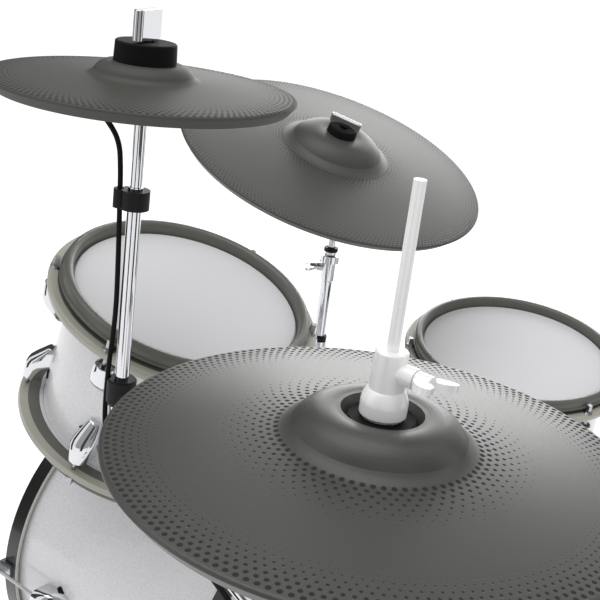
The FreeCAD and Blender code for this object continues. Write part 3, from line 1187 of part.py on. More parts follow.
def make_cable():
    """Store the cable, its coil on the floor and the plug at its end."""
    points = cable_points()
    edges = rounded_route(points)
    heading = Vector(points[1] - points[0]).normalize()
    tube = swept(edges, points[0], heading, CABLE_R)
    keep("crash_cable", tube)
    length = sum(edge.Length for edge in edges)
    print("cable length", round(length), "volume ratio", tube.Volume / (length * math.pi * CABLE_R ** 2))
    total = 2 * COIL_TURNS + 0.5
    side = Vector(COIL_WAY.y, -COIL_WAY.x, 0)
    begin = points[-1]
    straight = 2 * CABLE_R
    centre = begin + COIL_WAY * straight + side * COIL_OUTER
    steps = int(round(total * 4))
    nodes_at = [coil_point(centre, total * k / steps, total) for k in range(steps + 1)]
    small = 1e-4
    turns = [total * k / steps for k in range(steps + 1)]
    headings = [coil_point(centre, turn + small, total) - coil_point(centre, turn - small, total)
                for turn in turns]
    headings = [heading.normalize() for heading in headings]
    headings[0] = COIL_WAY
    finish = Vector(headings[-1].x, headings[-1].y, 0).normalize()
    headings[-1] = finish
    path = [Part.LineSegment(begin, nodes_at[0]).toShape()]
    for k in range(steps):
        path += biarc(nodes_at[k], headings[k], nodes_at[k + 1], headings[k + 1])
    end = nodes_at[-1] + finish * COIL_TAIL
    path.append(Part.LineSegment(nodes_at[-1], end).toShape())
    coil = swept(path, begin, COIL_WAY, CABLE_R)
    keep("crash_cable_coil", coil)
    coil_length = sum(edge.Length for edge in path)
    samples = []
    along = 0.0
    for edge in path:
        count = max(2, int(edge.Length / 1.5))
        for point in edge.discretize(count)[:-1]:
            samples.append((along, point))
            along += edge.Length / (count - 1)
    gap = min((first - second).Length for i, (a, first) in enumerate(samples)
              for b, second in samples[i + 1:] if b - a > 8 * CABLE_R) - 2 * CABLE_R
    print("coil length", round(coil_length), "volume ratio",
          coil.Volume / (coil_length * math.pi * CABLE_R ** 2), "least gap", round(gap, 2))
    barrel = rod(end, end + finish * PLUG_LONG, PLUG_R)
    pin = rod(end + finish * PLUG_LONG, end + finish * (PLUG_LONG + PLUG_PIN_LONG), PLUG_PIN_R)
    keep("crash_plug", fused(barrel, pin))
    print("coil centre", centre, "end", end, "finish", finish)


def make_kick_foot():
    """Rubber foot under the batter hoop, shaped to it."""
    block = box(Vector(-34, -KICK_HOOP_WIDE / 2, 0), Vector(34, KICK_HOOP_WIDE / 2, KICK_FOOT_TALL + 3))
    hoop = Part.makeCylinder(KICK_HOOP_R, KICK_HOOP_WIDE + 4, Vector(0, -KICK_HOOP_WIDE / 2 - 2, KICK_AXIS_Z),
                             Vector(0, 1, 0))
    return block.cut(hoop)


def main():
    """Build every node and write its file."""
    make_tom()
    sensors = make_kick()
    make_kick_brackets()
    sensors += make_floor_tom()
    sensors += make_snare()
    keep("drum_triggers", group(sensors))
    make_hat()
    make_crash()
    make_ride()
    make_cable()
    foot_solids.append(make_kick_foot())
    keep("stand_legs", group(leg_solids))
    keep("stand_feet", group(foot_solids))
    os.makedirs("parts", exist_ok=True)
    for name, shape in nodes.items():
        solids = shape.Solids
        if not solids or not shape.isValid():
            print("check", name, len(solids), shape.isValid())
        shape.exportStep("parts/" + name + ".step")
    print(len(nodes), "nodes")


main()
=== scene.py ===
import json
import logging
import math
from dataclasses import dataclass
from enum import Enum
from typing import Any

import bpy
from mathutils import Matrix, Vector

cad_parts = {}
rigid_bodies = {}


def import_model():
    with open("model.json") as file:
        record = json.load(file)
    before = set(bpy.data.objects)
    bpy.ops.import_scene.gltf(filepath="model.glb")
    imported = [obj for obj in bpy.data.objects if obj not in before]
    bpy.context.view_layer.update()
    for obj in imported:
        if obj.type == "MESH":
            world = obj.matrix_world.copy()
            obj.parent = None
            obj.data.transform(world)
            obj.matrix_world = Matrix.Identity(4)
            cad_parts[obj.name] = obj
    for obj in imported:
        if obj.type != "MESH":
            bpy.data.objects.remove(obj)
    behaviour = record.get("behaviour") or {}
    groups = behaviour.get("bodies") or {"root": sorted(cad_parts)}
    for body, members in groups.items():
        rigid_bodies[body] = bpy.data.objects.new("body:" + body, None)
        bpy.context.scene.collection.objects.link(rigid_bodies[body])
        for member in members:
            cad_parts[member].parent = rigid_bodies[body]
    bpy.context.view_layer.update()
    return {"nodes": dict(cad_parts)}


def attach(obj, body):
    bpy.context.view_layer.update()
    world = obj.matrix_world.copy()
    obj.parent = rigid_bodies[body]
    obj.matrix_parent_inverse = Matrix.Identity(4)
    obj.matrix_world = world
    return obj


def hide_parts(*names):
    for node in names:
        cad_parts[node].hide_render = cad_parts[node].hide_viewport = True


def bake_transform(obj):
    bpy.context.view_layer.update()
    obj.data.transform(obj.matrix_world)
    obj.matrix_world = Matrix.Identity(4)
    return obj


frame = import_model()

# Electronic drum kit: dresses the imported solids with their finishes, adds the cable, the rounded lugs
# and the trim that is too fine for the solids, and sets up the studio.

MM = 0.001
LUG_TALL = 52.0    # millimetres, the lug of toms and kick
ROLL_WIDE = 20.0    # millimetres from a drum's shell to the outside of its rim's padded roll
SMOOTH_ANGLE = math.radians(35)
TINY = 1e-6    # metres, for places that should be the same
WAVE_RADIANS = 20.0    # how far Blender's wave texture turns in one unit
WHITE = (1.0, 1.0, 1.0, 1.0)
LOG = logging.getLogger("drum_kit")

Node = bpy.types.Node
Point = tuple[float, float, float]
Socket = bpy.types.NodeSocket
Tree = bpy.types.NodeTree


class Slot(Enum):
    """Material slots of the record."""

    SHELL_WRAP = "shell_wrap"
    HOOP_RUBBER = "hoop_rubber"
    KICK_HOOP = "kick_hoop"
    MESH = "mesh"
    CHROME = "chrome"
    STEEL = "steel"
    PAD_RUBBER = "pad_rubber"
    BLACK_RUBBER = "black_rubber"
    BLACK_PLASTIC = "black_plastic"
    FOAM = "foam"
    CAST = "cast"


class Body(Enum):
    """Bodies of the frame that new pieces ride on."""

    KIT = "kit"
    TOM = "tom"
    CRASH_ROD = "crash_rod"


class Runs(Enum):
    """Which way lugs run from their rod ends: along the drum's axis or back against it."""

    ALONG = "along"
    BACK = "back"


@dataclass(frozen=True)
class Axis:
    """Axis of a drum or a pad: a point on it in millimetres, and its direction."""

    middle: Point
    lean: Point = (0.0, 0.0, 1.0)


TOM_AXIS = Axis((-154, 144, 754), (-0.025, -0.284, 0.958))
FLOOR_TOM_AXIS = Axis((484, -19, 578), (-0.126, -0.084, 0.988))
SNARE_AXIS = Axis((-160, -359, 612))
KICK_AXIS = Axis((0, -3, 246), (0, 1, 0))
HAT_AXIS = Axis((-575, -424, 900))
CRASH_AXIS = Axis((-369, 32, 1044))
RIDE_AXIS = Axis((296, 278, 850), (-0.0604, -0.3003, 0.9519))

# Shell radii in millimetres
TOM_RADIUS = 145.0
FLOOR_TOM_RADIUS = 156.0
SNARE_RADIUS = 145.0
KICK_RADIUS = 228.6


def linear(code: str) -> tuple[float, float, float, float]:
    """Turn an sRGB hex value into linear RGBA.

    Args:
        code: Colour such as "#6b6b68".

    Returns:
        Linear red, green, blue and an alpha of 1.
    """
    parts = [int(code[i:i + 2], 16) / 255 for i in (1, 3, 5)]
    low, slope, lift, power = 0.04045, 12.92, 0.055, 2.4
    red, green, blue = (c / slope if c <= low else ((c + lift) / (1 + lift)) ** power for c in parts)
    return red, green, blue, 1.0


def per_mm(size_mm: float) -> float:
    """Texture scale whose features are that many millimetres wide."""
    return 1.0 / (size_mm * MM)


def add_node(tree: Tree, kind: str, feeds: dict[int | str, Any] | None = None, **settings: Any) -> Node:
    """Add one node with its settings and links.

    Args:
        tree: Node tree that gets the node.
        kind: Blender's name of the node type.
        feeds: Input name or number, with the socket or the value that it takes.
        settings: Properties of the node.

    Returns:
        The new node.
    """
    node = tree.nodes.new(kind)
    for name, value in settings.items():
        setattr(node, name, value)
    for key, value in (feeds or {}).items():
        if isinstance(value, Socket):
            tree.links.new(value, node.inputs[key])
        else:
            node.inputs[key].default_value = value
    return node


def about_axis(tree: Tree, place: Socket, axis: Axis) -> Node:
    """Coordinates about a leaning axis.

    Args:
        tree: The material's node tree.
        place: Object coordinates.
        axis: The axis.

    Returns:
        A node that splits the coordinates, with Z along the axis.
    """
    tilt = Vector((0, 0, 1)).rotation_difference(Vector(axis.lean)).to_euler()
    local = add_node(tree, "ShaderNodeMapping", {"Vector": place, "Location": [c * MM for c in axis.middle],
                                                 "Rotation": tilt}, vector_type="TEXTURE")
    return add_node(tree, "ShaderNodeSeparateXYZ", {"Vector": local.outputs["Vector"]})


def off_axis(tree: Tree, axes: Node) -> Socket:
    """Distance from the axis of split coordinates.

    Args:
        tree: The material's node tree.
        axes: Coordinates split by about_axis.

    Returns:
        The distance.
    """
    flat = add_node(tree, "ShaderNodeCombineXYZ", {"X": axes.outputs["X"], "Y": axes.outputs["Y"]})
    out = add_node(tree, "ShaderNodeVectorMath", {0: flat.outputs["Vector"]}, operation="LENGTH")
    return out.outputs["Value"]


@dataclass(frozen=True)
class Finish:
    """A surface: its common name, its slot, its colour and how it takes light."""

    name: str
    slot: Slot
    colour: str
    roughness: float
    metallic: float = 0.0
    ior: float = 1.5
    coat: float = 0.0
    coat_roughness: float = 0.06

    def material(self) -> bpy.types.Material:
        """The finish as a material, made once.

        Returns:
            The material, new or already there.
        """
        known = bpy.data.materials.get(self.name)
        if known is not None:
            return known
        made = bpy.data.materials.new(self.name)
        made.use_nodes = True
        tree = made.node_tree
        shader = next(n for n in tree.nodes if n.type == "BSDF_PRINCIPLED")
        shader.inputs["Base Color"].default_value = linear(self.colour)
        shader.inputs["Roughness"].default_value = self.roughness
        shader.inputs["Metallic"].default_value = self.metallic
        shader.inputs["IOR"].default_value = self.ior
        shader.inputs["Coat Weight"].default_value = self.coat
        shader.inputs["Coat Roughness"].default_value = self.coat_roughness
        place = add_node(tree, "ShaderNodeTexCoord").outputs["Object"]
        self.surface(tree, shader, place)
        return made

    def surface(self, tree: Tree, shader: Node, place: Socket) -> None:
        """Add the pattern of the surface; a plain finish has none."""


@dataclass(frozen=True)
class Moulded(Finish):
    """Moulded rubber, plastic or foam: fine grain, and slow changes of tone from handling."""

    tone: str = "#000000"
    grain_mm: float = 1.2
    grain_depth_mm: float = 0.05
    grain_strength: float = 0.5
    patch_mm: float = 60.0
    rough_spread: float = 0.08

    def surface(self, tree: Tree, shader: Node, place: Socket) -> None:
        """Mix two near tones by large soft patches, and grain the surface.

        Args:
            tree: The material's node tree.
            shader: Its surface shader.
            place: Object coordinates.
        """
        patch = add_node(tree, "ShaderNodeTexNoise",
                         {"Vector": place, "Scale": per_mm(self.patch_mm), "Detail": 3.0})
        grain = add_node(tree, "ShaderNodeTexNoise",
                         {"Vector": place, "Scale": per_mm(self.grain_mm), "Detail": 2.0})
        tint = add_node(tree, "ShaderNodeMix", {"Factor": patch.outputs["Fac"], "A": linear(self.colour),
                                                "B": linear(self.tone)}, data_type="RGBA")
        rough = add_node(tree, "ShaderNodeMapRange",
                         {"Value": grain.outputs["Fac"], "To Min": self.roughness - self.rough_spread,
                          "To Max": self.roughness + self.rough_spread})
        bump = add_node(tree, "ShaderNodeBump",
                        {"Height": grain.outputs["Fac"], "Strength": self.grain_strength,
                         "Distance": self.grain_depth_mm * MM})
        tree.links.new(tint.outputs["Result"], shader.inputs["Base Color"])
        tree.links.new(rough.outputs["Result"], shader.inputs["Roughness"])
        tree.links.new(bump.outputs["Normal"], shader.inputs["Normal"])


@dataclass(frozen=True)
class Plated(Finish):
    """Plated or drawn metal: mirror bright or satin, with faint smears in its gloss."""

    smear_mm: float = 35.0
    # Levels of the noise at which a smear sets in and is full
    smear_from: float = 0.35
    smear_full: float = 0.75
    rough_spread: float = 0.03

    def surface(self, tree: Tree, shader: Node, place: Socket) -> None:
        """Vary the gloss by soft smears.

        Args:
            tree: The material's node tree.
            shader: Its surface shader.
            place: Object coordinates.
        """
        smear = add_node(tree, "ShaderNodeTexNoise",
                         {"Vector": place, "Scale": per_mm(self.smear_mm), "Detail": 4.0})
        rough = add_node(tree, "ShaderNodeMapRange",
                         {"Value": smear.outputs["Fac"], "From Min": self.smear_from,
                          "From Max": self.smear_full, "To Min": self.roughness,
                          "To Max": self.roughness + self.rough_spread})
        tree.links.new(rough.outputs["Result"], shader.inputs["Roughness"])


@dataclass(frozen=True)
class Sparkle(Finish):
    """Sparkle wrap: tinsel flakes set at all angles under a clear sheet, so single flakes glint."""

    pale: str = "#e6e6e8"
    dark: str = "#c9c9cd"
    dark_share: float = 0.3
    flake_mm: float = 0.9
    flake_deep_mm: float = 0.1
    flake_tilt: float = 0.12

    def flakes(self, tree: Tree, place: Socket) -> tuple[Socket, Socket]:
        """Make the flakes.

        Args:
            tree: The material's node tree.
            place: Object coordinates.

        Returns:
            The colour of the flakes and the normal that tilts them.
        """
        cell = add_node(tree, "ShaderNodeTexVoronoi", {"Vector": place, "Scale": per_mm(self.flake_mm)})
        pick = add_node(tree, "ShaderNodeSeparateColor", {"Color": cell.outputs["Color"]})
        tone = add_node(tree, "ShaderNodeValToRGB", {"Fac": pick.outputs["Red"]})
        ramp = tone.color_ramp
        ramp.elements[0].color = linear(self.dark)
        ramp.elements[1].color = linear(self.pale)
        middle = ramp.elements.new(self.dark_share)
        middle.color = linear(self.colour)
        bump = add_node(tree, "ShaderNodeBump",
                        {"Height": pick.outputs["Green"], "Strength": self.flake_tilt,
                         "Distance": self.flake_deep_mm * MM})
        return tone.outputs["Color"], bump.outputs["Normal"]

    def surface(self, tree: Tree, shader: Node, place: Socket) -> None:
        """Lay the flakes under the clear sheet.

        Args:
            tree: The material's node tree.
            shader: Its surface shader.
            place: Object coordinates.
        """
        colour, tilt = self.flakes(tree, place)
        tree.links.new(colour, shader.inputs["Base Color"])
        tree.links.new(tilt, shader.inputs["Normal"])


@dataclass(frozen=True)
class TwoToneHoop(Finish):
    """Kick hoop: black lacquer round the outside, pale on its other faces."""

    pale: str = "#c9c8bf"
    lacquer_from_mm: float = 238.5
    axis: Axis = KICK_AXIS

    def surface(self, tree: Tree, shader: Node, place: Socket) -> None:
        """Show the lacquer only beyond a distance from the kick's axis.

        Args:
            tree: The material's node tree.
            shader: Its surface shader.
            place: Object coordinates.
        """
        out = off_axis(tree, about_axis(tree, place, self.axis))
        outer = add_node(tree, "ShaderNodeMath", {0: out, 1: self.lacquer_from_mm * MM},
                         operation="GREATER_THAN")
        tint = add_node(tree, "ShaderNodeMix", {"Factor": outer.outputs[0], "A": linear(self.pale),
                                                "B": linear(self.colour)}, data_type="RGBA")
        tree.links.new(tint.outputs["Result"], shader.inputs["Base Color"])


@dataclass(frozen=True)
class RimRubber(Moulded):
    """Drum rim: a dark padded roll, and outside it a flange that is coloured paler."""

    axis: Axis = TOM_AXIS
    shell_radius: float = TOM_RADIUS
    flange: str = "#a8a79c"

    def surface(self, tree: Tree, shader: Node, place: Socket) -> None:
        """Grain the rubber, then make it paler beyond the roll.

        Args:
            tree: The material's node tree.
            shader: Its surface shader.
            place: Object coordinates.
        """
        super().surface(tree, shader, place)
        out = off_axis(tree, about_axis(tree, place, self.axis))
        outer = add_node(tree, "ShaderNodeMath", {0: out, 1: (self.shell_radius + ROLL_WIDE) * MM},
                         operation="GREATER_THAN")
        base = shader.inputs["Base Color"].links[0].from_socket
        tint = add_node(tree, "ShaderNodeMix",
                        {"Factor": outer.outputs[0], "A": base, "B": linear(self.flange)}, data_type="RGBA")
        tree.links.new(tint.outputs["Result"], shader.inputs["Base Color"])


@dataclass(frozen=True)
class WovenMesh(Finish):
    """Mesh drum head: two-ply woven polyester, pale grey, with a faint square weave."""

    thread_mm: float = 1.5    # coarser than the real half millimetre, so that the weave shows
    shade: str = "#c3c4c6"
    patch_mm: float = 90.0
    weave_deep_mm: float = 0.1
    weave_strength: float = 0.2

    def surface(self, tree: Tree, shader: Node, place: Socket) -> None:
        """Weave two sets of threads.

        Args:
            tree: The material's node tree.
            shader: Its surface shader.
            place: Object coordinates.
        """
        scale = per_mm(self.thread_mm) / WAVE_RADIANS * math.pi
        threads = {"Vector": place, "Scale": scale, "Distortion": 0.0}
        warp, weft = (add_node(tree, "ShaderNodeTexWave", threads, bands_direction=way).outputs["Fac"]
                      for way in ("X", "Y"))
        weave = add_node(tree, "ShaderNodeMath", {0: warp, 1: weft}, operation="MULTIPLY")
        patch = add_node(tree, "ShaderNodeTexNoise", {"Vector": place, "Scale": per_mm(self.patch_mm)})
        both = add_node(tree, "ShaderNodeMath", {0: weave.outputs[0], 1: patch.outputs["Fac"]},
                        operation="MULTIPLY")
        tint = add_node(tree, "ShaderNodeMix", {"Factor": both.outputs[0], "A": linear(self.colour),
                                                "B": linear(self.shade)}, data_type="RGBA")
        bump = add_node(tree, "ShaderNodeBump",
                        {"Height": weave.outputs[0], "Strength": self.weave_strength,
                         "Distance": self.weave_deep_mm * MM})
        tree.links.new(tint.outputs["Result"], shader.inputs["Base Color"])
        tree.links.new(bump.outputs["Normal"], shader.inputs["Normal"])


@dataclass(frozen=True)
class DotBand:
    """Rings of moulded dimples: full size at one radius and fading out at the other."""

    full_mm: float
    faded_mm: float
    per_ring: int
    ring_mm: float = 4.8
    dot_mm: float = 2.1
    soft_edge_mm: float = 0.3


@dataclass(frozen=True)
class PadRubber(Moulded):
    """Cymbal pad: matte moulded rubber with bands of small dark dimples in staggered rings."""

    axis: Axis = HAT_AXIS
    bands: tuple[DotBand, ...] = ()
    dot_colour: str = "#282826"
    dot_roughness: float = 0.95
    dot_deep_mm: float = 0.6
    dot_strength: float = 0.3
    plain_below_mm: float = -1.5    # along the axis; the underside has no dimples

    def surface(self, tree: Tree, shader: Node, place: Socket) -> None:
        """Grain the rubber, then press the dimples into it.

        Args:
            tree: The material's node tree.
            shader: Its surface shader.
            place: Object coordinates.
        """
        super().surface(tree, shader, place)
        axes = about_axis(tree, place, self.axis)
        out = off_axis(tree, axes)
        turn = add_node(tree, "ShaderNodeMath", {0: axes.outputs["Y"], 1: axes.outputs["X"]},
                        operation="ARCTAN2").outputs[0]
        dots = [self.dots(tree, band, out, turn) for band in self.bands]
        both = dots[0]
        for more in dots[1:]:
            both = add_node(tree, "ShaderNodeMath", {0: both, 1: more}, operation="MAXIMUM").outputs[0]
        above = add_node(tree, "ShaderNodeMath", {0: axes.outputs["Z"], 1: self.plain_below_mm * MM},
                         operation="GREATER_THAN").outputs[0]
        mask = add_node(tree, "ShaderNodeMath", {0: both, 1: above}, operation="MULTIPLY").outputs[0]
        base = shader.inputs["Base Color"].links[0].from_socket
        tint = add_node(tree, "ShaderNodeMix", {"Factor": mask, "A": base, "B": linear(self.dot_colour)},
                        data_type="RGBA")
        gloss = shader.inputs["Roughness"].links[0].from_socket
        dull = add_node(tree, "ShaderNodeMix", {"Factor": mask, "A": gloss, "B": self.dot_roughness})
        grain = shader.inputs["Normal"].links[0].from_socket
        press = add_node(tree, "ShaderNodeBump",
                         {"Height": mask, "Normal": grain, "Strength": self.dot_strength,
                          "Distance": self.dot_deep_mm * MM}, invert=True)
        tree.links.new(tint.outputs["Result"], shader.inputs["Base Color"])
        tree.links.new(dull.outputs["Result"], shader.inputs["Roughness"])
        tree.links.new(press.outputs["Normal"], shader.inputs["Normal"])

    def dots(self, tree: Tree, band: DotBand, out: Socket, turn: Socket) -> Socket:
        """One band of dimples.

        Args:
            tree: The material's node tree.
            band: Where the band lies and how it fades.
            out: Distance from the pad's axis.
            turn: Angle round the axis.

        Returns:
            1 inside a dimple and 0 outside.
        """
        ring = band.ring_mm * MM
        step = 2 * math.pi / band.per_ring
        share = add_node(tree, "ShaderNodeMath", {0: out, 1: ring}, operation="DIVIDE").outputs[0]
        index = add_node(tree, "ShaderNodeMath", {0: share}, operation="ROUND").outputs[0]
        ring_out = add_node(tree, "ShaderNodeMath", {0: index, 1: ring}, operation="MULTIPLY").outputs[0]
        off = add_node(tree, "ShaderNodeMath", {0: out, 1: ring_out}, operation="SUBTRACT").outputs[0]
        odd = add_node(tree, "ShaderNodeMath", {0: index, 1: 2.0}, operation="FLOORED_MODULO").outputs[0]
        slide = add_node(tree, "ShaderNodeMath", {0: odd, 1: 0.5}, operation="MULTIPLY").outputs[0]
        cells = add_node(tree, "ShaderNodeMath", {0: turn, 1: 1 / step, 2: slide},
                         operation="MULTIPLY_ADD").outputs[0]
        near = add_node(tree, "ShaderNodeMath", {0: cells}, operation="ROUND").outputs[0]
        part = add_node(tree, "ShaderNodeMath", {0: cells, 1: near}, operation="SUBTRACT").outputs[0]
        angle = add_node(tree, "ShaderNodeMath", {0: part, 1: step}, operation="MULTIPLY").outputs[0]
        along = add_node(tree, "ShaderNodeMath", {0: angle, 1: out}, operation="MULTIPLY").outputs[0]
        offset = add_node(tree, "ShaderNodeCombineXYZ", {"X": off, "Y": along})
        gap = add_node(tree, "ShaderNodeVectorMath", {0: offset.outputs["Vector"]},
                       operation="LENGTH").outputs["Value"]
        size = add_node(tree, "ShaderNodeMapRange",
                        {"Value": ring_out, "From Min": band.full_mm * MM, "From Max": band.faded_mm * MM,
                         "To Min": band.dot_mm * MM, "To Max": 0.0}).outputs["Result"]
        inward = band.faded_mm < band.full_mm
        beyond = add_node(tree, "ShaderNodeMath", {0: ring_out, 1: band.full_mm * MM},
                          operation="LESS_THAN" if inward else "GREATER_THAN").outputs[0]
        kept = add_node(tree, "ShaderNodeMath", {0: size, 1: beyond}, operation="MULTIPLY").outputs[0]
        inside = add_node(tree, "ShaderNodeMath", {0: kept, 1: gap}, operation="SUBTRACT").outputs[0]
        edge = band.soft_edge_mm * MM
        return add_node(tree, "ShaderNodeMapRange", {"Value": inside, "From Min": -edge, "From Max": edge,
                                                     "To Min": 0.0, "To Max": 1.0}).outputs["Result"]


def rim_rubber(drum: str, axis: Axis, shell_radius: float) -> RimRubber:
    """Rubber of one drum's rims: satin, with a paler flange round the dark roll.

    Args:
        drum: Name of the drum.
        axis: Its axis.
        shell_radius: Radius of its shell in millimetres.

    Returns:
        The finish.
    """
    return RimRubber(f"{drum}_rim_rubber", Slot.HOOP_RUBBER, "#62625c", 0.36, tone="#5a5a54", grain_mm=0.9,
                     axis=axis, shell_radius=shell_radius)


# Sparkle wrap under a clear sheet: pale, with single glints and a soft gloss
WRAP = Sparkle("sparkle_wrap", Slot.SHELL_WRAP, "#dcdcdf", 0.3, coat=0.6)
TOM_RIM = rim_rubber("tom", TOM_AXIS, TOM_RADIUS)
FLOOR_RIM = rim_rubber("floor_tom", FLOOR_TOM_AXIS, FLOOR_TOM_RADIUS)
SNARE_RIM = rim_rubber("snare", SNARE_AXIS, SNARE_RADIUS)
# Lacquer: glossy black, with a clear edge to its highlights
KICK_HOOP = TwoToneHoop("lacquered_hoop", Slot.KICK_HOOP, "#141414", 0.3, coat=0.4)
# Woven polyester: pale and dull all over
HEAD_MESH = WovenMesh("woven_polyester_mesh", Slot.MESH, "#d3d3d5", 0.75)
# Polished chrome: mirrors the room, so it shows bright and dark bands
CHROME = Plated("polished_chrome", Slot.CHROME, "#dcdde0", 0.06, metallic=1.0)
# Chrome painted nearly white: painted glare of bright light, with soft shading and hardly any reflection
GLARE_WHITE_CHROME = Plated("chrome_with_painted_glare", Slot.CHROME, "#fcfcfc", 0.3, metallic=0.12)
# Satin steel: greyer than the chrome, with blurred highlights
STEEL = Plated("satin_steel", Slot.STEEL, "#b4b5b8", 0.25, metallic=1.0, rough_spread=0.08)
# Moulded black rubber and nylon: close to black, with little shine
BLACK_RUBBER = Moulded("black_moulded_rubber", Slot.BLACK_RUBBER, "#090909", 0.7, ior=1.3, tone="#0e0e0d",
                       grain_mm=0.8)
BLACK_PLASTIC = Moulded("black_nylon", Slot.BLACK_PLASTIC, "#0b0b0c", 0.5, ior=1.35, tone="#101011",
                        grain_mm=0.7)
# Cellular foam: dull dark grey with a coarse grain
FOAM = Moulded("cellular_foam", Slot.FOAM, "#2b2b2c", 0.85, tone="#353536", grain_mm=1.6, grain_depth_mm=0.4)
# Painted casting: satin black with a fine grain
CAST = Moulded("satin_black_casting", Slot.CAST, "#1d1d1e", 0.4, tone="#262627", grain_mm=1.0)

# Moulded pad rubber: warm dark grey that brightens where it mirrors the lamps at a low angle
HAT_RUBBER = PadRubber("hat_pad_rubber", Slot.PAD_RUBBER, "#484845", 0.4, tone="#42423f", axis=HAT_AXIS,
                       bands=(DotBand(174, 136, 170, dot_mm=1.9), DotBand(67, 110, 66, dot_mm=1.8)))
CRASH_RUBBER = PadRubber("crash_pad_rubber", Slot.PAD_RUBBER, "#484844", 0.62, tone="#42423e",
                         axis=CRASH_AXIS, bands=(DotBand(149.5, 114, 138),))
RIDE_RUBBER = PadRubber("ride_pad_rubber", Slot.PAD_RUBBER, "#484844", 0.46, tone="#42423e", axis=RIDE_AXIS,
                        bands=(DotBand(250.5, 205, 230, dot_mm=1.5), DotBand(90, 136, 84, dot_mm=1.5)))

NODE_FINISHES: dict[Finish, tuple[str, ...]] = {
    WRAP: ("kick_shell", "tom_shell", "floor_tom_shell", "snare_shell"),
    TOM_RIM: ("tom_hoops",),
    FLOOR_RIM: ("floor_tom_hoops",),
    SNARE_RIM: ("snare_hoops",),
    KICK_HOOP: ("kick_hoops",),
    HEAD_MESH: ("kick_heads", "tom_heads", "floor_tom_heads", "snare_heads"),
    CHROME: ("kick_lugs", "tom_lugs", "floor_tom_lugs", "snare_lugs", "kick_brackets", "tom_post",
             "tom_bracket", "floor_tom_leg_brackets", "floor_tom_legs", "kick_spur_left", "kick_spur_right",
             "crash_rod", "crash_nut", "crash_wing", "crash_arm", "ride_nut", "ride_wing", "ride_tilter",
             "ride_height_rod", "ride_upper_tube", "ride_base_tube", "stand_legs", "snare_stand",
             "hat_upper_tube"),
    # Hat pull rod and clutch: chrome painted nearly white, a painted glare
    GLARE_WHITE_CHROME: ("hat_pull_rod", "hat_clutch", "hat_clutch_wing"),
    STEEL: ("kick_tension_rods", "tom_tension_rods", "floor_tom_tension_rods", "snare_tension_rods"),
    HAT_RUBBER: ("hat_pad",),
    CRASH_RUBBER: ("crash_pad",),
    RIDE_RUBBER: ("ride_pad",),
    BLACK_RUBBER: ("stand_feet", "crash_stopper", "ride_stopper", "hat_bush"),
    BLACK_PLASTIC: ("crash_collar", "crash_cable_clip", "hat_sensor", "crash_plug"),
    FOAM: ("drum_triggers", "tom_trigger"),
    CAST: ("hat_frame", "hat_footboard"),
}


def dress(piece: bpy.types.Object, finish: Finish) -> None:
    """Give a piece its finish.

    Args:
        piece: A CAD node or a new piece.
        finish: The surface that it gets.
    """
    piece.data.materials.clear()
    piece.data.materials.append(finish.material())


def only_none() -> None:
    """Deselect everything."""
    for other in bpy.context.view_layer.objects:
        other.select_set(False)


def only(piece: bpy.types.Object) -> None:
    """Select one object alone and make it active.

    Args:
        piece: The object.
    """
    only_none()
    piece.select_set(True)
    bpy.context.view_layer.objects.active = piece


def thicken(piece: bpy.types.Object, thick: float, round_edge: float) -> None:
    """Turn an open sheet into a solid that grows outwards, with rounded edges.

    Args:
        piece: The sheet, active and in object mode.
        thick: Its thickness.
        round_edge: Width of the rounding.
    """
    solid = piece.modifiers.new("thick", "SOLIDIFY")
    solid.thickness = thick
    solid.offset = 1.0
    edge = piece.modifiers.new("edge", "BEVEL")
    edge.width = round_edge
    edge.segments = 2
    for name in ("thick", "edge"):
        bpy.ops.object.modifier_apply(modifier=name)


